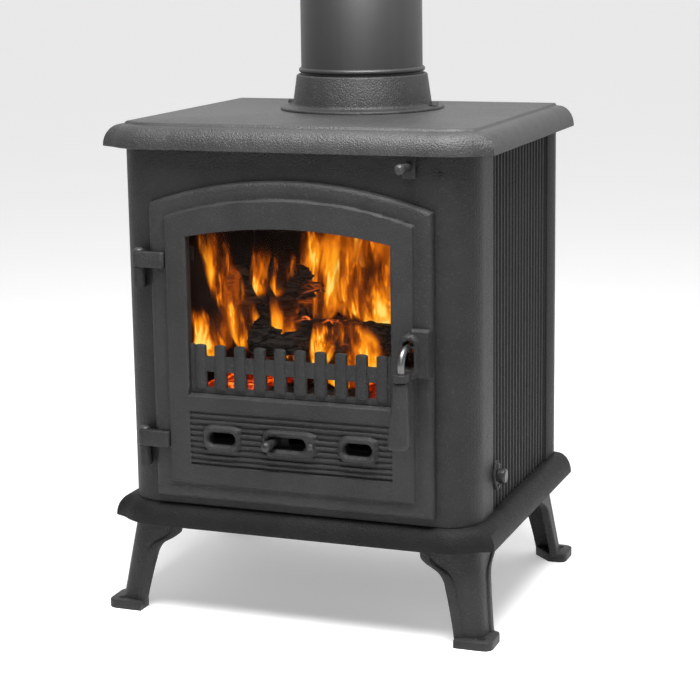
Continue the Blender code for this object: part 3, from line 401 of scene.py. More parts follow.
def box_field(x, z, center, half, radius):
    """Signed distance to a rounded rectangle, negative inside."""
    qx = np.abs(x - center[0]) - (half[0] - radius)
    qz = np.abs(z - center[1]) - (half[1] - radius)
    outside = np.hypot(np.maximum(qx, 0), np.maximum(qz, 0))
    return outside + np.minimum(np.maximum(qx, qz), 0) - radius


def arch_depth(x, z, half, bottom, spring, crown):
    """How far a point lies inside a rectangle with an arched top: the least of its three distances."""
    rise = crown - spring
    radius = (half ** 2 + rise ** 2) / (2 * rise)
    to_arch = radius - np.hypot(x, z - crown + radius)
    return np.minimum(np.minimum(half - np.abs(x), z - bottom), to_arch)


# ------------------------------------------------------------------ mesh makers
def grid_quads(rows, columns, wrap_rows=False, wrap_columns=False):
    """Quads between neighbouring rows and columns of a grid of points numbered row by row."""
    index = np.arange(rows * columns).reshape(rows, columns)
    if wrap_rows:
        index = np.vstack([index, index[:1]])
    if wrap_columns:
        index = np.hstack([index, index[:, :1]])
    return np.stack([index[:-1, :-1], index[:-1, 1:], index[1:, 1:], index[1:, :-1]], -1).reshape(-1, 4)


def skin(rings, wrap=False):
    """Matching closed rings of points, skinned in order, with flat ends or joined last to first."""
    rings = np.asarray(rings, float)
    rows, columns = rings.shape[:2]
    faces = grid_quads(rows, columns, wrap, True).tolist()
    if not wrap:
        faces.append(list(range(columns))[::-1])
        faces.append(list(range((rows - 1) * columns, rows * columns)))
    return rings.reshape(-1, 3), faces


def turn(profile, center, axis="Z", steps=96, closed=True):
    """A (radius, height) profile swept about an axis: x = c + r cos a, y = c + r sin a, z = height."""
    profile = np.asarray(profile, float)
    a = np.linspace(0, TAU, steps, endpoint=False)
    r, h = profile[:, :1], np.repeat(profile[:, 1:], steps, 1)
    ring = np.stack([r * np.cos(a), r * np.sin(a), h], -1)
    if axis == "-Y":
        ring = ring[..., [0, 2, 1]] * np.array([1, -1, 1])
    if axis == "X":
        ring = ring[..., [2, 0, 1]]
    return skin(ring + np.asarray(center, float), wrap=closed)


def tube(path, radius, sides=20):
    """A circle carried along a path in a vertical plane, turned square to the path at each point."""
    path = np.asarray(path, float)
    run = np.gradient(path, axis=0)
    run /= np.linalg.norm(run, axis=1, keepdims=True)
    across = np.array([1.0, 0, 0])
    lift = np.cross(run, across)
    a = np.linspace(0, TAU, sides, endpoint=False)
    radius = np.broadcast_to(np.asarray(radius, float), len(path))[:, None, None]
    ring = np.cos(a)[None, :, None] * across + np.sin(a)[None, :, None] * lift[:, None, :]
    return skin(path[:, None, :] + radius * ring)


def relief(x, z, front, back, hole=None):
    """A cast plate on a grid: its front and back are heights over (x, z), with walls round every edge.

    Cells whose middle lies in the hole field are dropped, and the rim's points slide down the field's
    slope on to its zero line.
    """
    rows, columns = x.shape
    quads = grid_quads(rows, columns)
    if hole is not None:
        middle = hole(x.ravel()[quads].mean(1), z.ravel()[quads].mean(1))
        keep = middle > 0
        kept = np.zeros(x.size, bool)
        dropped = np.zeros(x.size, bool)
        kept[quads[keep]] = True
        dropped[quads[~keep]] = True
        rim = (kept & dropped).reshape(x.shape)
        x, z = x.copy(), z.copy()
        for _ in range(3):
            u, v, e = x[rim], z[rim], 1e-5
            value = hole(u, v)
            gu = (hole(u + e, v) - hole(u - e, v)) / (2 * e)
            gv = (hole(u, v + e) - hole(u, v - e)) / (2 * e)
            scale = value / np.maximum(gu * gu + gv * gv, 0.2)
            x[rim], z[rim] = u - gu * scale, v - gv * scale
        quads = quads[keep]
    count = x.size
    near = np.stack([x, front(x, z), z], -1).reshape(-1, 3)
    far = np.stack([x, back(x, z), z], -1).reshape(-1, 3)
    edges = np.concatenate([quads[:, [i, (i + 1) % 4]] for i in range(4)])
    key = edges[:, 0] * count + edges[:, 1]
    twin = edges[:, 1] * count + edges[:, 0]
    rim_edges = edges[~np.isin(key, twin)]
    a, b = rim_edges[:, 0], rim_edges[:, 1]
    walls = np.stack([b, a, a + count, b + count], 1)
    faces = np.concatenate([quads, quads[:, ::-1] + count, walls])
    used, faces = np.unique(faces, return_inverse=True)
    return np.concatenate([near, far])[used], faces.reshape(-1, 4).tolist()


def gather(*patches):
    """Several (points, faces) as one."""
    points, faces, start = [], [], 0
    for some_points, some_faces in patches:
        points.append(some_points)
        faces += [[i + start for i in face] for face in some_faces]
        start += len(some_points)
    return np.concatenate(points), faces


def flip(patch):
    points, faces = patch
    return points, [face[::-1] for face in faces]


def volume_sign(points, faces):
    """Which way the faces point: the sign of the volume summed over fans of each face."""
    total = 0.0
    for face in faces:
        a, rest = points[face[0]], points[face[1:]]
        total += np.einsum("ij,ij->", np.cross(rest[:-1], rest[1:]), np.broadcast_to(a, (len(rest) - 1, 3)))
    return total


def outward(patch):
    """The patch with its faces pointing out of the closed shape."""
    return patch if volume_sign(*patch) > 0 else flip(patch)


def piece(name, patch, material, body, stands_for=(), sharp=50):
    """Put a patch into the scene, riding on a body and standing for its CAD nodes."""
    points, faces = patch
    points = points + np.array([0, Y0, 0])
    mesh = bpy.data.meshes.new(name)
    mesh.from_pydata(points.tolist(), [], faces)
    mesh.validate()
    mesh.update()
    thing = bpy.data.objects.new(name, mesh)
    bpy.context.scene.collection.objects.link(thing)
    mesh.materials.append(material)
    mesh.shade_smooth()
    mesh.set_sharp_from_angle(angle=np.radians(sharp))
    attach(thing, body)
    if stands_for:
        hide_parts(*stands_for)
    return thing


def paint(material, *nodes):
    for node in nodes:
        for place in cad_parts[node].material_slots:
            place.material = material


# tone, roughness, grain and shine of each casting's paint; the hob's raised tone is a painted highlight, and
# the lowered tones of the base, sides and front casting are painted shade
IRONS = {
    "cast_iron_matt": (1.00, 0.52, 1.0, 0.30),
    # the hob's tone is raised as a painted highlight
    "hob_iron": (1.35, 0.50, 0.8, 0.42),
    # the base's tone is lowered as painted shade
    "base_iron": (0.42, 0.56, 1.0, 0.17),
    # the sides' tone is lowered as painted shade
    "side_iron": (0.50, 0.60, 0.8, 0.22),
    # the front casting's tone is lowered as painted shade, the shadow under the hob
    "front_iron": (0.80, 0.50, 1.0, 0.26),
    "back_iron": (1.00, 0.50, 0.6, 0.35),
    "collar_iron": (1.10, 0.50, 0.7, 0.30),
    "guide_iron": (0.70, 0.60, 1.0, 0.30),
    "fence_iron": (1.00, 0.60, 1.2, 0.30),
    "ferrule_iron": (1.10, 0.42, 0.5, 0.30),
    "grip_iron": (1.25, 0.46, 0.55, 0.30),
    "knob_iron": (1.50, 0.34, 0.4, 0.30),
    "grate_iron": (0.60, 0.75, 1.6, 0.30),
}
# tone and roughness of the other metal, and of the near-black painted shade in the pad holes
STEELS = {"dark_steel": (0.055, 0.50), "pan_steel": (0.050, 0.55), "hole_dark": (0.010, 0.80)}


def iron(name="cast_iron_matt"):
    return finish(name, cast_iron, *IRONS[name])


def steel(name="dark_steel"):
    return finish(name, dark_steel, *STEELS[name])


# ------------------------------------------------------------------ settings
class StoveSettings(bpy.types.PropertyGroup):
    """Sizes and colours that a user would change."""

    iron_color: FloatVectorProperty(name="Iron color", description="Paint on the castings", subtype="COLOR",
                                    size=3, min=0, max=1, default=(0.018, 0.018, 0.0184))
    grit: FloatProperty(name="Casting grit", description="How rough the sand casting is",
                        default=1.0, min=0, max=3)
    flute_depth: FloatProperty(name="Flute depth", description="Depth of the grooves in the sides",
                               default=0.0022, min=0, max=0.004, unit="LENGTH")
    rib_depth: FloatProperty(name="Rib depth", description="Depth of the grooves in the air panel",
                             default=0.0020, min=0, max=0.003, unit="LENGTH")
    flame_glow: FloatProperty(name="Flame glow", description="Brightness of the flames",
                              default=1.45, min=0, max=20)
    log_bark: FloatProperty(name="Bark depth", description="Unevenness of the logs", default=0.0022,
                            min=0, max=0.004, unit="LENGTH")
    key_power: FloatProperty(name="Key light", description="Power of the overhead light", default=36.0,
                             min=0, max=500, unit="POWER")


# ------------------------------------------------------------------ plates
def plate_outline(distance, rear):
    """The lip's plan, inset: square at the back, a crease on each side, rounded front corners."""
    corner = arc((0.150, -0.1065), 0.056, -90, -45, 10)
    right = np.vstack([corner, [[LIP_HALF, -0.1395]], [[LIP_HALF, 0.160]]])
    ring = inset(np.vstack([mirror(right), right]), distance, closed=False)
    ring[[0, -1], 1] = rear
    across = np.linspace(1, -1, 18)[1:-1, None]
    back = np.hstack([across * ring[-1, 0], np.full_like(across, rear)])
    side = np.linspace(ring[-2], ring[-1], 10)[1:-1]
    front = np.linspace(ring[len(ring) // 2 - 1], ring[len(ring) // 2], 16)[1:-1]
    half = len(ring) // 2
    return np.vstack([ring[:1], side[::-1] * [-1, 1], ring[1:half], front, ring[half:-1], side, ring[-1:],
                      back])


def level(ring, z):
    return np.hstack([ring, np.full((len(ring), 1), z)])


def rolled_plate(lip, shoulder, ceiling, raised):
    """Rings up the rolled lip (a quarter ellipse), over the rim to the middle, and round inside the pocket."""
    rings = []
    for t in np.linspace(0, 90, 13):
        a = np.radians(t)
        rings.append(level(plate_outline(0.0165 * (1 - np.cos(a)), 0.160 - 0.0010 * (1 - np.cos(a))),
                           lip + (shoulder - lip) * np.sin(a)))
    if raised:
        for distance, rise in ((0.0184, 0.0002), (0.0192, 0.0009), (0.0200, 0.0023), (0.0212, 0.0028)):
            rings.append(level(plate_outline(distance, 0.1592 - distance * 0.05), shoulder + rise))
    pocket = [level(plate_outline(distance, rear), z) for distance, rear, z in (
        (0.0012, 0.1596, lip - 0.0006), (0.0050, 0.1590, lip - 0.0003), (0.0064, 0.1585, lip + 0.0040),
        (0.0068, 0.1584, lip + 0.0085), (0.0115, 0.1583, ceiling))]
    return pocket[::-1] + rings


class STOVE_OT_plates(bpy.types.Operator):
    """Cast hob and base plates with their rolled edges"""
    bl_idname = "stove.plates"
    bl_label = "Plates"

    def execute(self, context):
        rings = rolled_plate(HOB_LIP, HOB_SHOULDER, 0.4925, True)
        inner = rings[-1]
        a = np.arctan2(inner[:, 1] - FLUE[1], inner[:, 0])
        circle = np.stack([0.0605 * np.cos(a), FLUE[1] + 0.0605 * np.sin(a)], 1)
        hole = [level(circle, HOB_TOP), level(circle, 0.4925)]
        hob = outward(skin(rings + hole, wrap=True))
        # the hob carries the lighter, painted-highlight copy of the cast iron
        piece("hob", hob, iron("hob_iron"), "stove", ["hob_plate"])
        base = outward(skin(rolled_plate(BASE_LIP, BASE_TOP, 0.110, False)))
        runners = [outward(block((x - 0.004, -0.130, BASE_TOP + 0.0001), (x + 0.004, 0.104, 0.1442)))
                   for x in (-0.088, 0.088)]
        # the base carries a darker, painted-shade copy of the cast iron
        piece("base", gather(base, *runners), iron("base_iron"), "stove", ["base_plate"])
        return {"FINISHED"}


def block(low, high):
    """A box between two corners, as two rings."""
    (x0, y0, z0), (x1, y1, z1) = low, high
    ring = np.array([[x0, y0], [x1, y0], [x1, y1], [x0, y1]])
    return skin([level(ring, z0), level(ring, z1)])


def soft_block(low, high, radius, steps=4):
    """A box whose upright edges are rounded and whose top and bottom edges roll in by the same radius."""
    (x0, y0, z0), (x1, y1, z1) = low, high
    rings = []
    turns = [(z0, t) for t in np.linspace(90, 0, steps)] + [(z1, t) for t in np.linspace(0, 90, steps)]
    for z, t in turns:
        a = np.radians(t)
        pull = radius * (1 - np.cos(a))
        height = z + radius * (1 - np.sin(a)) * (1 if z == z0 else -1)
        corners = [arc((cx, cy), max(radius - pull, radius * 0.05), s, s + 90, steps)
                   for cx, cy, s in ((x0 + radius, y0 + radius, 180), (x1 - radius, y0 + radius, 270),
                                     (x1 - radius, y1 - radius, 0), (x0 + radius, y1 - radius, 90))]
        rings.append(level(np.vstack(corners), height))
    return skin(rings)


# ------------------------------------------------------------------ body
class STOVE_OT_body(bpy.types.Operator):
    """Fluted side panels, front casting and back"""
    bl_idname = "stove.body"
    bl_label = "Body"

    def execute(self, context):
        depth = context.scene.stove.flute_depth
        y = np.linspace(-0.082, -0.082 + 18 * 0.0111, 18 * 12 + 1)
        wave = 0.5 - 0.5 * np.cos(TAU * (y + 0.082) / 0.0111)
        x = 0.1837 - depth * ramp(wave, 0.25, 0.80)
        strip = y[-1]
        plan = np.vstack([[[0.1837, -0.0832]], np.stack([x, y], 1), [[0.1837, strip + 0.0004]],
                          [[0.1850, strip + 0.0006]], [[0.1855, strip + 0.0012]], [[0.1855, 0.1457]],
                          [[0.1760, 0.1457]], [[0.1760, -0.0832]]])
        for name, side in (("left", -1), ("right", 1)):
            ring = plan * [side, 1]
            panel = outward(skin([level(ring, BASE_TOP + 0.0003), level(ring, 0.4922)]))
            # the sides carry a darker, painted-shade copy of the cast iron
            piece("fluted_side_" + name, panel, iron("side_iron"), "stove",
                  ["side_panel_" + name], 45)
        # the front casting carries a darker, painted-shade copy of the cast iron
        paint(iron("front_iron"), "front_casting")
        paint(iron("back_iron"), "back_panel")
        return {"FINISHED"}


# ------------------------------------------------------------------ legs
def leg_ring(z, reach, apex, corner):
    """One level of a leg: a rounded V with a raised bead along each free edge."""
    side, front = apex, -(apex - 0.042)
    bead, width, wall = 0.0020, 0.0090, 0.006
    front_end, side_end = side - reach, front + reach * 1.1
    lip = arc((front_end + 0.0015, front - bead + 0.0015), 0.0015, 180, 270, 3)
    outer = [lip, [[front_end + width - 0.001, front - bead]],
             [[front_end + width + bead * 0.4, front - bead * 0.6]], [[front_end + width + bead, front]],
             arc((side - corner, front + corner), corner, -90, 0, 12),
             [[side, side_end - width - bead]], [[side + bead * 0.6, side_end - width - bead * 0.4]],
             [[side + bead, side_end - width + 0.001]],
             arc((side + bead - 0.0015, side_end - 0.0015), 0.0015, 0, 90, 3)]
    inner_radius = max(corner - wall, 0.003)
    pivot = (side - wall - inner_radius, front + wall + inner_radius)
    inner = [[[side - wall, side_end]], [[side - wall, side_end - width]], arc(pivot, inner_radius, 0, -90, 8),
             [[front_end + width, front + wall]], [[front_end, front + wall]]]
    return level(np.vstack(outer + inner), z)


LEG_TOP = 0.1097
LEG_HEIGHTS = np.array([0.006, 0.020, 0.045, 0.062, 0.069, 0.073, 0.0765, 0.082, LEG_TOP])
LEG_REACH = np.array([0.0295, 0.030, 0.0325, 0.035, 0.0385, 0.044, 0.051, 0.057, 0.057])


class STOVE_OT_legs(bpy.types.Operator):
    """Four splayed legs with beaded edges and foot pads"""
    bl_idname = "stove.legs"
    bl_label = "Legs"

    def execute(self, context):
        heights = np.unique(np.concatenate([np.linspace(0.006, 0.060, 8), np.linspace(0.060, 0.084, 13),
                                            [0.096, LEG_TOP]]))
        reach = np.interp(heights, LEG_HEIGHTS, LEG_REACH)
        reach[1:-1] = (reach[:-2] + 2 * reach[1:-1] + reach[2:]) / 4
        apex = np.interp(heights, [0, LEG_TOP], [0.197, 0.183])
        rounding = np.interp(heights, [0, LEG_TOP], [0.014, 0.024])
        limb = skin([leg_ring(*row) for row in zip(heights, reach, apex, rounding)])
        pad_plan = np.array([[0.168, -0.162], [0.197, -0.162], [0.2015, -0.1610], [0.2050, -0.1575],
                             [0.206, -0.153], [0.206, -0.131], [0.2045, -0.1265], [0.199, -0.124],
                             [0.187, -0.124], [0.168, -0.143]])
        levels = [(0.0, 0.0004), (0.0006, 0.0), (0.0078, 0.0), (0.0086, 0.0003), (0.0090, 0.0010)]
        pad = skin([level(inset(pad_plan, d), z) for z, d in levels])
        lug_plan = np.array([[0.142, -0.1365], [0.160, -0.1368], [0.1768, -0.121], [0.1768, -0.098],
                             [0.149, -0.106]])
        lug = skin([level(lug_plan, z) for z in (LEG_TOP - 0.006, LEG_TOP)])
        for corner, (side, end) in CORNERS.items():
            parts = [outward((points * [side, end, 1], faces)) for points, faces in (limb, pad, lug)]
            name = "leg_" + corner
            piece("cast_" + name, gather(*parts), iron(), "stove", [name], 40)
            # a near-black disc on each foot pad stands for its hole: painted shade
            hole = flat_disc((side * 0.1935, end * -0.1515, 0.00906), 0.0044)
            piece("pad_hole_" + corner, hole, steel("hole_dark"), "stove", ())
        return {"FINISHED"}


def flat_disc(center, radius, thick=0.0004):
    """A thin disc as a turned profile."""
    top, bore = thick * 0.2, radius * 0.02
    return outward(turn([(radius, -thick), (radius, top), (bore, top), (bore, -thick)], center, steps=28))


# ------------------------------------------------------------------ flue
class STOVE_OT_flue(bpy.types.Operator):
    """Flue collar, pipe and the two bolts"""
    bl_idname = "stove.flue"
    bl_label = "Flue"

    def execute(self, context):
        center = (0, FLUE[1], 0)
        rim = arc((0.0665, 0.5345), 0.0025, 90, 20, 5)
        foot = arc((0.0772, 0.5085), 0.0045, 190, 265, 6)
        outer = np.vstack([[[0.0642, 0.5368]], rim, foot, [[0.0845, 0.5035]], [[0.0858, 0.5028]],
                           [[0.0862, 0.5018]], [[0.0862, 0.5008]], [[0.0580, 0.5008]],
                           [[0.0580, 0.5115]], [[0.0640, 0.5115]]])
        piece("collar", outward(turn(outer, center)), iron("collar_iron"), "stove",
              ["flue_collar"], 60)
        bead = arc((0.0635, 0.5415), 0.0028, 85, -85, 10)
        pipe = np.vstack([[[0.0615, 0.6595]], [[0.0619, 0.660]], [[0.0631, 0.660]], [[0.0635, 0.6595]], bead,
                          [[0.0635, 0.5120]], [[0.0615, 0.5120]]])
        piece("pipe", outward(turn(pipe, center, steps=128)), finish("pipe_paint", pipe_paint), "stove",
              ["flue_pipe"], 60)
        paint(steel(), "collar_bolt_left", "collar_bolt_right")
        return {"FINISHED"}


# ------------------------------------------------------------------ door
def window_field(x, z):
    """Negative inside the window."""
    return -arch_depth(x, z, *WINDOW)


def slot_field(x, z):
    """Negative inside any of the three air slots."""
    return np.minimum.reduce([box_field(x, z, (c, SLOT_Z), (h, 0.00625), 0.0062) for c, h in AIR_SLOTS])


def latch_field(x, z):
    return box_field(x, z, (LATCH_X, 0.28755), (0.0053, 0.01405), 0.0053)


def door_holes(x, z):
    return np.minimum.reduce([window_field(x, z), slot_field(x, z), latch_field(x, z)])


def door_front(x, z):
    """Thickness from the back face, added up from edge to middle.

    A quarter-round bead at the edge, a low foot, a step up to the panel, ribs as flattened cosine
    waves, bosses and the latch pad as smooth plateaus, and flares round the slots and the window.
    """
    edge = arch_depth(x, z, *DOOR)
    t = np.clip(edge / 0.0065, 0, 1)
    thick = FOOT + (BORDER - FOOT) * np.sqrt(1 - (1 - t) ** 2)
    thick = thick - 0.9 * ramp(edge, 0.0095, 0.0165)
    thick = thick + (PANEL - thick) * ramp(edge, 0.0172, 0.0192)

    half, low, high = RIB_PANEL
    inside = np.minimum(np.minimum(half - np.abs(x), z - low), high - z)
    share = ((z - low) / RIB_PITCH) % 1.0
    groove = ramp(0.5 + 0.5 * np.cos(TAU * (share - 0.20)), 0.30, 0.85)
    rib_depth = bpy.context.scene.stove.rib_depth / MM
    thick = thick - ramp(inside, 0.0, 0.0009) * (0.8 + rib_depth * groove)

    for center, half in AIR_BOSSES:
        field = box_field(x, z, (center, SLOT_Z), (half, 0.014), 0.0105)
        thick = thick + (BOSS - thick) * ramp(-field, -0.0004, 0.0030)
    thick = thick - 3.2 * (1 - ramp(slot_field(x, z), 0.0, 0.0030))

    pad = box_field(x, z, (0.1366, 0.2885), (0.0098, 0.0240), 0.0030)
    thick = thick + (np.maximum(thick, PAD) - thick) * ramp(-pad, -0.0002, 0.0016)
    boss = box_field(x, z, (LATCH_X, 0.28775), (0.0098, 0.02025), 0.0095)
    thick = thick + (LATCH_BOSS - thick) * ramp(-boss, -0.0002, 0.0022)
    thick = thick - 1.3 * (1 - ramp(latch_field(x, z), 0.0, 0.0014))

    above_sill = z > WINDOW[1] + 0.002
    thick = thick - 1.2 * (1 - ramp(window_field(x, z), 0.0, 0.0020)) * above_sill
    sill = (np.abs(x) < WINDOW[0] + 0.001) * (1 - ramp(WINDOW[1] + 0.0003 - z, 0.0, 0.0036))
    thick = thick - 6.6 * sill * ~above_sill
    return DOOR_BACK - thick * MM


def door_rear(x, z):
    """Flat, with a channel for the rope seal along the edge."""
    edge = arch_depth(x, z, *DOOR)
    return DOOR_BACK - 0.0050 * ramp(0.0033 - np.abs(edge - ROPE_INSET), 0.0, 0.0008)


class STOVE_OT_door(bpy.types.Operator):
    """Arched door casting with its ribbed air panel, bosses and latch pad"""
    bl_idname = "stove.door"
    bl_label = "Door"

    def execute(self, context):
        xs = lines((-0.1475, -0.141, 0.0007), (-0.141, -0.1315, 0.0014), (-0.1315, -0.1265, 0.0007),
                   (-0.1265, -0.1085, 0.0022), (-0.1085, -0.1045, 0.0008), (-0.1045, 0.1045, 0.00185),
                   (0.1045, 0.1085, 0.0008), (0.1085, 0.1145, 0.0014), (0.1145, 0.1475, 0.00085))
        zs = lines((0.124, 0.1305, 0.0008), (0.1305, 0.140, 0.0016), (0.140, 0.1445, 0.0008),
                   (0.1445, 0.159, 0.0024), (0.159, 0.220, 0.00088), (0.220, 0.229, 0.0018),
                   (0.229, 0.2355, 0.0006), (0.2355, 0.263, 0.0031),
                   (0.263, 0.315, 0.0012), (0.315, 0.372, 0.0040), (0.372, 0.423, 0.00080))
        x, z = np.meshgrid(xs, zs)
        half, _, spring, crown = DOOR
        rise = crown - spring
        radius = (half ** 2 + rise ** 2) / (2 * rise)
        top = crown - radius + np.sqrt(radius ** 2 - x ** 2)
        bent = 0.315
        z = np.where(z > bent, bent + (z - bent) * (top - bent) / (spring - bent), z)
        casting = outward(relief(x, z, door_front, door_rear, door_holes))
        straps = [strap(*span) for span in STRAPS.values()]
        piece("arched_door", gather(casting, *straps), iron(), "door", ["door_casting"], 48)
        paint(steel(), "glass_clip_lower_left", "glass_clip_lower_right",
              "glass_clip_upper_left", "glass_clip_upper_right", "latch_pin")
        paint(iron("guide_iron"), "slider_guide_lower", "slider_guide_upper", "air_slider")
        paint(finish("glass", clear_glass), "door_glass")
        paint(finish("glass_tape", fibre, (0.30, 0.28, 0.25)), "glass_gasket")
        paint(finish("seal_rope", fibre, (0.10, 0.098, 0.094), 420), "door_rope")
        return {"FINISHED"}


def strap(low, high):
    """A hinge strap: a round eye and a flat arm, drawn in plan, with its top and bottom edges rolled."""
    eye = arc(HINGE, 0.0067, 12, 262, 22)
    arm = np.array([[-0.1590, -0.1618], [-0.1345, -0.1616], [-0.1312, -0.1608], [-0.1302, -0.1594],
                    [-0.1302, -0.1545]])
    plan = np.vstack([eye, arm])
    soft = 0.0011
    levels = [(low, soft), (low + soft * 0.35, soft * 0.3), (low + soft, 0), (high - soft, 0),
              (high - soft * 0.35, soft * 0.3), (high, soft)]
    return outward(skin([level(inset(plan, d), z) for z, d in levels]))


class STOVE_OT_fence(bpy.types.Operator):
    """Log fence across the foot of the window"""
    bl_idname = "stove.fence"
    bl_label = "Log fence"

    def execute(self, context):
        pitch, bar, top, notch = 0.0213, 0.0058, 0.2832, 0.2714
        centers = (np.arange(10) - 4.5) * pitch
        soft = 0.0008
        reach = np.array([bar - soft * 1.6, bar - soft / 2, bar, bar + soft])
        marks = (centers[:, None] + np.concatenate([-reach, [0], reach])).ravel()
        gaps = (centers[1:] + centers[:-1]) / 2
        windows = np.concatenate([[g - 0.0041, g, g + 0.0041] for g in gaps])
        end = 0.1062
        xs = np.unique(np.round(np.clip(np.concatenate([marks, windows, [-end, end]]), -end, end), 6))
        zs = np.array([0.2343, 0.2348, 0.2360, 0.2376, 0.2386, 0.2402, 0.2480, 0.2562, 0.2575, 0.2640, 0.2700,
                       notch - 0.0006, notch, 0.2750, 0.2790, 0.2812, 0.2822, 0.2828, top])
        x, z = np.meshgrid(xs, zs)
        nearest = np.abs(x[..., None] - centers).min(-1)
        pull = 0.0014 * ramp(nearest, bar - 0.0024, bar + 0.0001) * ramp(z, 0.2800, top)
        z = z - pull * (nearest < bar + 0.0002)

        def holes(u, v):
            field = np.minimum.reduce([box_field(u, v, (g, 0.2482), (0.0041, 0.0080), 0.0002) for g in gaps])
            gap = pitch / 2 - bar
            cuts = np.minimum.reduce([box_field(u, v, (g, notch + 0.010), (gap, 0.010), 0.0002) for g in gaps])
            return np.minimum(field, cuts)

        def front(u, v):
            near = np.abs(u[..., None] - centers).min(-1)
            proud = ramp(bar + 0.0001 - near, 0.0, 0.0010) * ramp(v, 0.2368, 0.2384)
            edge = 1 - ramp(top - v, 0.0, 0.0022)
            return -0.1545 - 0.0013 * proud + 0.0007 * edge

        fence = outward(relief(x, z, front, lambda u, v: np.full_like(u, -0.1512), holes))
        piece("fire_fence", fence, iron("fence_iron"), "door", ["log_fence"], 42)
        return {"FINISHED"}


# ------------------------------------------------------------------ handle, hinges and knobs
class STOVE_OT_handle(bpy.types.Operator):
    """Bent steel rod, ferrule and flat-sided grip"""
    bl_idname = "stove.handle"
    bl_label = "Handle"

    def execute(self, context):
        bend = arc((HANDLE_Y + 0.014, LATCH_PIVOT_Z - 0.014), 0.014, 90, 180, 16)
        level_run = [[y, LATCH_PIVOT_Z] for y in (-0.1415, -0.150, -0.160, -0.168)]
        route = np.vstack([level_run, bend, [[HANDLE_Y, 0.2780], [HANDLE_Y, 0.2742]]])
        path = np.stack([np.full(len(route), LATCH_X), route[:, 0], route[:, 1]], 1)
        piece("latch_rod", outward(tube(path, 0.0036, 24)), finish("bright_steel", bright_steel), "latch",
              ["handle_rod"], 60)
        collar = [(0.0036, 0.2741), (0.0078, 0.2741), (0.0083, 0.2735), (0.0084, 0.2722), (0.0081, 0.2700),
                  (0.0084, 0.2684), (0.0083, 0.2673), (0.0077, 0.2668), (0.0036, 0.2668)]
        piece("grip_ferrule", outward(turn(collar, (LATCH_X, HANDLE_Y, 0), steps=48)),
              iron("ferrule_iron"), "latch", ["handle_ferrule"])
        levels = np.array([[0.2665, 0.0064, 0.0058], [0.2660, 0.0070, 0.0064], [0.2620, 0.0072, 0.0066],
                           [0.2500, 0.0079, 0.0071], [0.2350, 0.0090, 0.0076], [0.2200, 0.0101, 0.0080],
                           [0.2105, 0.0107, 0.0082], [0.2068, 0.0107, 0.0081], [0.2048, 0.0101, 0.0076],
                           [0.2038, 0.0090, 0.0065], [0.2035, 0.0070, 0.0048]])
        a = np.linspace(0, TAU, 40, endpoint=False)
        power = 0.80
        u, v = np.sign(np.cos(a)) * np.abs(np.cos(a)) ** power, np.sign(np.sin(a)) * np.abs(np.sin(a)) ** power
        rings = []
        for z, hx, hy in levels:
            middle = HANDLE_Y - 0.0085 * (0.2665 - z) / 0.063
            rings.append(np.stack([LATCH_X + hx * u, middle + hy * v, np.full_like(u, z)], 1))
        piece("grip", outward(skin(rings)), iron("grip_iron"), "latch",
              ["handle_grip"])
        paint(steel(), "latch_tongue", "latch_keeper")
        return {"FINISHED"}


class STOVE_OT_hinges(bpy.types.Operator):
    """Domed hinge pins"""
    bl_idname = "stove.hinges"
    bl_label = "Hinge pins"

    def execute(self, context):
        for name, (low, high) in STRAPS.items():
            dome = arc((0.0, high + 0.0003), 0.0052, 4, 86, 8)
            dome[:, 1] = high + 0.0003 + (dome[:, 1] - high - 0.0003) * 0.62
            profile = np.vstack([[[0.0003, dome[-1, 1]]], dome[::-1], [[0.0052, high + 0.0003]],
                                 [[0.0030, high + 0.0003]], [[0.0030, low - 0.0155]], [[0.0003, low - 0.0155]]])
            pin = outward(turn(profile, (*HINGE, 0), steps=40))
            piece("pin_" + name, pin, steel(), "stove", ["hinge_pin_" + name])
        return {"FINISHED"}


def knob(x, base, z, reach):
    """A turned peg pointing out of the front: a waist, a swelling and a domed end, as (radius, along)."""
    along = np.array([0, 0.006, 0.012, 0.0148, 0.0168, 0.0186, 0.0198, 0.0207, 0.0212]) * reach / 0.0212
    radius = np.array([0.0044, 0.0040, 0.0044, 0.0050, 0.0053, 0.0052, 0.0045, 0.0030, 0.0006])
    s = np.linspace(0, 1, 30)
    k = np.linspace(0, 1, len(along))
    profile = np.stack([np.interp(s, k, radius), np.interp(s, k, along)], 1)
    profile = np.vstack([[[0.0004, 0.0]], profile, [[0.0003, profile[-1, 1]]]])
    return outward(turn(profile, (x, base, z), "-Y", 36))


class STOVE_OT_controls(bpy.types.Operator):
    """Air slider and airwash knobs, and the small screw beside the slot"""
    bl_idname = "stove.controls"
    bl_label = "Air controls"

    def execute(self, context):
        metal = iron("knob_iron")
        piece("lower_air_knob", knob(-0.0175, -0.1495, SLOT_Z, 0.0325), metal, "air_control",
              ["air_slider_knob"])
        piece("upper_air_knob", knob(0.1235, -0.1529, 0.4655, 0.030), metal, "airwash", ["airwash_knob"])
        head = [(0.0004, 0.0), (0.0032, 0.0), (0.0031, 0.0008), (0.0025, 0.0015), (0.0012, 0.0018),
                (0.0004, 0.0018)]
        screw = outward(turn(head, (0.0238, -0.1645, SLOT_Z), "-Y", 28))
        piece("boss_screw", screw, steel(), "door", ["slot_screw"])
        bar = soft_block((0.045, -0.1526, 0.478), (0.1302, -0.1494, 0.487), 0.0010)
        tab = soft_block((0.1168, -0.1526, 0.4540), (0.1302, -0.1494, 0.4795), 0.0010)
        piece("airwash_tab", gather(outward(bar), outward(tab)), iron(), "airwash", ["airwash_slider"])
        return {"FINISHED"}


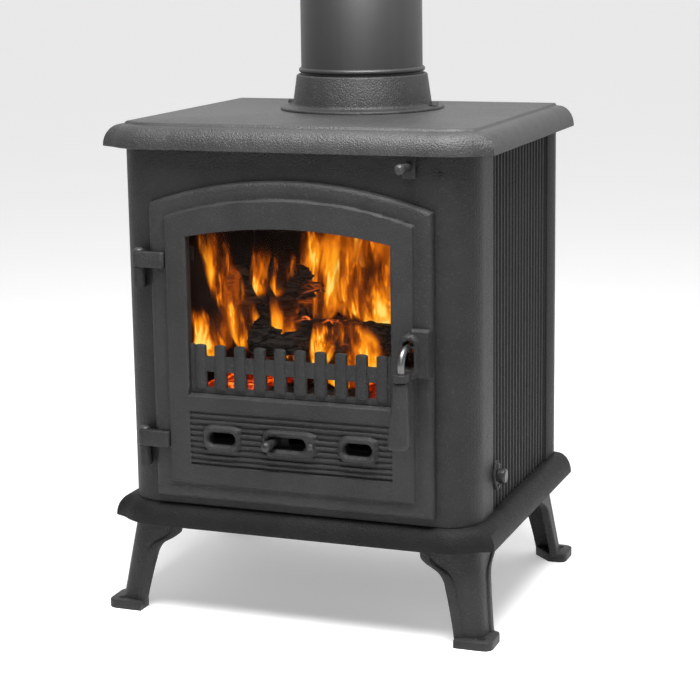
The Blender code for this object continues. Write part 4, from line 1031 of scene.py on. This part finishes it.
class STOVE_OT_riddler(bpy.types.Operator):
    """Riddling rod's knob, its lozenge plate and two screws"""
    bl_idname = "stove.riddler"
    bl_label = "Riddling knob"

    def execute(self, context):
        y, z = RIDDLER
        corners = np.vstack([arc((y, z + 0.0120), 0.0034, 35, 145, 8),
                             arc((y - 0.0006, z), 0.0098, 150, 210, 8),
                             arc((y, z - 0.0120), 0.0034, 215, 325, 8),
                             arc((y + 0.0006, z), 0.0098, -30, 30, 8)])
        rings = []
        for x, d in ((0.1858, 0.0), (0.1876, 0.0), (0.1882, 0.0003), (0.1885, 0.0010)):
            ring = inset(corners, d)
            rings.append(np.hstack([np.full((len(ring), 1), x), ring]))
        piece("lozenge_plate", outward(skin(rings)), iron(), "stove", ["riddle_escutcheon"])
        profile = [(0.0003, 0.1891), (0.0072, 0.1891), (0.0074, 0.1900), (0.0074, 0.1945), (0.0071, 0.1957),
                   (0.0062, 0.1966), (0.0045, 0.1968), (0.0003, 0.1966)]
        piece("riddle_button", outward(turn(profile, (0, y, z), "X", 40)), iron("knob_iron"),
              "riddler", ["riddle_knob"])
        head = [(0.0003, 0.1888), (0.0023, 0.1888), (0.0021, 0.1896), (0.0012, 0.1901), (0.0003, 0.1901)]
        for name, way in (("upper", 1), ("lower", -1)):
            screw = outward(turn(head, (0, y, z + way * 0.0108), "X", 20))
            piece("plate_screw_" + name, screw, steel(), "stove",
                  ["escutcheon_screw_" + name])
        paint(steel(), "riddle_rod")
        return {"FINISHED"}


class STOVE_OT_interior(bpy.types.Operator):
    """Grate, baffle, bricks, ash pan and tie bolts"""
    bl_idname = "stove.interior"
    bl_label = "Interior"

    def execute(self, context):
        paint(iron("grate_iron"), "riddling_grate", "grate_frame", "baffle_plate")
        paint(steel(), *["tie_bolt_" + corner for corner in CORNERS])
        paint(steel("pan_steel"), "ash_pan")
        paint(finish("sooty_board", sooty_board), "firebrick_left", "firebrick_right", "firebrick_rear")
        return {"FINISHED"}


# ------------------------------------------------------------------ fire
def ripple(*terms):
    """Sum of sines, each (amplitude, phase)."""
    return sum(amplitude * np.sin(phase) for amplitude, phase in terms)


def log_shape(start, end, radius, seed, bark):
    """A wandering axis with a swelling, ridged section: ridges are sines round and along the log."""
    start, end = np.array(start), np.array(end)
    t = np.linspace(0, 1, 90)[:, None]
    a = np.linspace(0, TAU, 96, endpoint=False)[None, :]
    run = (end - start) / np.linalg.norm(end - start)
    across = np.cross(run, [0, 0, 1.0])
    across /= np.linalg.norm(across)
    lift = np.cross(across, run)
    size = radius * (0.94 + 0.05 * np.sin(5 * t + seed))
    size = size * (1 + 0.09 * np.sin(3 * a + seed) + 0.04 * np.sin(5 * a + 2 * seed + 2 * t))
    size = size + bark * ripple((0.45, 17 * a + 9 * np.sin(4 * t + seed) + seed),
                                (0.35, 29 * a - 39 * t + 2 * seed),
                                (0.30, 46 * t + 5 * np.cos(2 * a)), (0.25, 71 * t + 7 * a))
    ends = np.minimum(t, 1 - t)
    size = size * (1 - 0.16 * (1 - ramp(ends, 0.0, 0.03)))
    center = start + (end - start) * t
    ring = np.cos(a)[..., None] * across + np.sin(a)[..., None] * lift
    points = center[:, None, :] + size[..., None] * ring
    return outward(skin(points))


LOGS = (("log_front", "front_log", (-0.075, -0.062, 0.268), (0.118, -0.055, 0.2665), 0.0295, 0.4),
        ("log_rear", "rear_log", (-0.128, 0.030, 0.268), (0.070, 0.050, 0.268), 0.0290, 2.1),
        ("log_top", "upper_log", (-0.120, -0.030, 0.3205), (0.085, 0.035, 0.3255), 0.0215, 4.0))

# foot x, depth y, foot z, width, height, lean, seed
FLAMES = ((-0.088, -0.052, 0.244, 0.050, 0.164, -0.040, 1.0),
          (-0.126, -0.062, 0.246, 0.050, 0.062, -0.004, 12.5),
          (-0.070, -0.055, 0.312, 0.032, 0.064, -0.006, 3.1),
          (-0.048, -0.060, 0.314, 0.028, 0.056, 0.009, 4.7),
          (-0.020, -0.006, 0.276, 0.070, 0.130, 0.004, 5.2),
          (0.020, 0.004, 0.270, 0.106, 0.146, 0.006, 6.6),
          (0.054, -0.012, 0.262, 0.088, 0.152, 0.002, 7.9),
          (0.042, -0.026, 0.284, 0.096, 0.124, 0.000, 14.2),
          (-0.022, -0.080, 0.252, 0.050, 0.080, -0.020, 9.1),
          (0.006, -0.095, 0.248, 0.040, 0.066, 0.014, 10.4),
          (0.062, -0.094, 0.238, 0.044, 0.076, -0.022, 11.8),
          (0.034, -0.099, 0.232, 0.056, 0.042, 0.0, 13.3))
FLAME_THICKNESS = 0.0003


def flame_sheet(x, y, z, width, height, lean, seed):
    """A thin standing sheet, closed round its edge.

    It leans and sways as it rises, sideways and in depth, each by a sine of the height. Its width
    swells from a narrow foot, and it bows towards the glass by 1 - u * u across its width.
    """
    u = np.linspace(-1, 1, 15)[None, :]
    v = np.linspace(0, 1, 31)[:, None]
    sway = 0.006 * np.sin(5.5 * v + seed) * v + lean * v
    half = width / 2 * (1 + 0.15 * np.sin(4 * v + seed)) * (0.35 + 0.65 * ramp(v, 0, 0.3))
    px = x + sway + half * u
    py = y - 0.008 * (1 - u * u) + 0.006 * np.sin(3 * v + 2 * seed) + 0 * u
    pz = z + height * v + 0 * u
    points, faces = relief(px, pz, lambda *_: py, lambda *_: py + FLAME_THICKNESS)
    uv = np.stack([(u + 1) / 2 + 0 * v, v + 0 * u], -1).reshape(-1, 2)
    return points, faces, np.vstack([uv, uv])


class STOVE_OT_fire(bpy.types.Operator):
    """Logs, embers and flames"""
    bl_idname = "stove.fire"
    bl_label = "Fire"

    def execute(self, context):
        settings = context.scene.stove
        for node, name, start, end, radius, seed in LOGS:
            log = log_shape(start, end, radius, seed, settings.log_bark)
            piece(name, log, finish("charred_wood", charred_wood), "stove", [node], 60)
        xs, ys = np.meshgrid(np.linspace(-0.137, 0.137, 150), np.linspace(-0.094, 0.098, 110))
        lumps = ripple((0.30, 210 * xs + 3 * np.sin(160 * ys)), (0.30, 190 * ys + 4 * np.cos(130 * xs)),
                       (0.20, 420 * xs + 300 * ys), (0.20, 510 * ys - 330 * xs))
        edge = np.minimum(0.137 - np.abs(xs), np.minimum(ys + 0.094, 0.098 - ys))
        top = 0.2186 + ramp(edge, 0.0, 0.020) * (0.0068 + 0.0018 * lumps) + 0.0004

        points, faces = relief(xs, ys, lambda *_: top, lambda *_: np.full_like(xs, 0.2184))
        points = points[:, [0, 2, 1]]
        piece("embers", outward((points, faces)), finish("glowing_embers", glowing_embers), "stove",
              ["ember_bed"], 70)
        flame_material = finish("flame", flame)
        for number, row in enumerate(FLAMES):
            points, faces, uv = flame_sheet(*row)
            name = f"flame_{number + 1:02d}"
            thing = piece(name, outward((points, faces)), flame_material, "stove", (), 180)
            layer = thing.data.uv_layers.new(name="flame")
            corners = np.empty(len(thing.data.loops), int)
            thing.data.loops.foreach_get("vertex_index", corners)
            layer.data.foreach_set("uv", uv[corners].ravel())
            thing.visible_shadow = False
        return {"FINISHED"}


# ------------------------------------------------------------------ stage
def area_light(name, place, target, size, power):
    light = bpy.data.lights.new(name, "AREA")
    light.shape = "RECTANGLE"
    light.size, light.size_y = size
    light.energy = power
    thing = bpy.data.objects.new(name, light)
    bpy.context.scene.collection.objects.link(thing)
    thing.location = place
    thing.rotation_euler = (Vector(target) - Vector(place)).to_track_quat("-Z", "Y").to_euler()


YAW, PITCH, ROLL = 0.36185, 0.1920, -0.01435
CAMERA_PLACE = (0.7073, -1.8550, 0.6750)
SENSOR = 36
FOCAL = 99.41143


def aim_camera():
    """Right, up and backward directions from the yaw, downward pitch and roll."""
    forward = np.array([-np.sin(YAW), np.cos(YAW), 0.0])
    right = np.array([np.cos(YAW), np.sin(YAW), 0.0])
    up = np.array([0, 0, 1.0])
    ahead = forward * np.cos(PITCH) - up * np.sin(PITCH)
    above = up * np.cos(PITCH) + forward * np.sin(PITCH)
    x_axis = right * np.cos(ROLL) + above * np.sin(ROLL)
    y_axis = above * np.cos(ROLL) - right * np.sin(ROLL)
    turned = np.eye(4)
    turned[:3, :3] = np.stack([x_axis, y_axis, -ahead], 1)
    turned[:3, 3] = np.array(CAMERA_PLACE) + [0, Y0, 0]
    return Matrix(turned.tolist())


class STOVE_OT_stage(bpy.types.Operator):
    """Pale floor, studio lights and the camera"""
    bl_idname = "stove.stage"
    bl_label = "Stage"

    def execute(self, context):
        scene = context.scene
        mesh = bpy.data.meshes.new("floor")
        reach = 60.0
        corners = [(-reach, -reach, 0), (reach, -reach, 0), (reach, reach, 0), (-reach, reach, 0)]
        mesh.from_pydata(corners, [], [(0, 1, 2, 3)])
        floor = bpy.data.objects.new("floor", mesh)
        mesh.materials.append(finish("pale_floor", pale_floor))
        scene.collection.objects.link(floor)
        camera = bpy.data.objects.new("camera", bpy.data.cameras.new("camera"))
        scene.collection.objects.link(camera)
        camera.data.sensor_width = SENSOR
        camera.data.lens = FOCAL
        camera.data.shift_y = -0.05
        camera.matrix_world = aim_camera()
        scene.camera = camera
        area_light("overhead", (0.20, -0.42, 1.35), (0.05, -0.05, 0.45), (0.8, 0.55), scene.stove.key_power)
        area_light("front_right", (1.1, -2.6, 1.5), (0.0, 0.0, 0.3), (1.0, 1.2), 9)
        world = bpy.data.worlds.new("studio")
        world.use_nodes = True
        self.light_world(world.node_tree)
        scene.world = world
        scene.view_settings.view_transform = "Standard"
        return {"FINISHED"}

    def light_world(self, tree):
        """White behind the stove, falling off to a dim room in front of it."""
        direction = tree.nodes.new("ShaderNodeTexCoord")
        parts = tree.nodes.new("ShaderNodeSeparateXYZ")
        fade = tree.nodes.new("ShaderNodeMapRange")
        tree.links.new(direction.outputs["Generated"], parts.inputs[0])
        tree.links.new(parts.outputs["Y"], fade.inputs["Value"])
        fade.inputs["From Min"].default_value = -0.3
        fade.inputs["From Max"].default_value = 0.5
        fade.inputs["To Min"].default_value = 0.12
        fade.inputs["To Max"].default_value = 1.1
        tree.links.new(fade.outputs[0], tree.nodes["Background"].inputs["Strength"])
        tree.nodes["Background"].inputs["Color"].default_value = (1, 1, 1, 1)


# ------------------------------------------------------------------ panel and registration
STEPS = (STOVE_OT_plates, STOVE_OT_body, STOVE_OT_legs, STOVE_OT_flue, STOVE_OT_door, STOVE_OT_fence,
         STOVE_OT_handle, STOVE_OT_hinges, STOVE_OT_controls, STOVE_OT_riddler, STOVE_OT_interior,
         STOVE_OT_fire, STOVE_OT_stage)


class STOVE_PT_panel(bpy.types.Panel):
    """Lists the settings and the pieces"""
    bl_idname = "STOVE_PT_panel"
    bl_label = "Stove"
    bl_space_type = "VIEW_3D"
    bl_region_type = "UI"
    bl_category = "Stove"

    def draw(self, context):
        for name in StoveSettings.__annotations__:
            self.layout.prop(context.scene.stove, name)
        for step in STEPS:
            self.layout.operator(step.bl_idname)


CLASSES = (StoveSettings, *STEPS, STOVE_PT_panel)


def register():
    for item in CLASSES:
        bpy.utils.register_class(item)
    bpy.types.Scene.stove = PointerProperty(type=StoveSettings)


def unregister():
    del bpy.types.Scene.stove
    for item in reversed(CLASSES):
        bpy.utils.unregister_class(item)


def main():
    register()
    for step in STEPS:
        group, name = step.bl_idname.split(".")
        getattr(getattr(bpy.ops, group), name)()


if __name__ == "__main__":
    main()
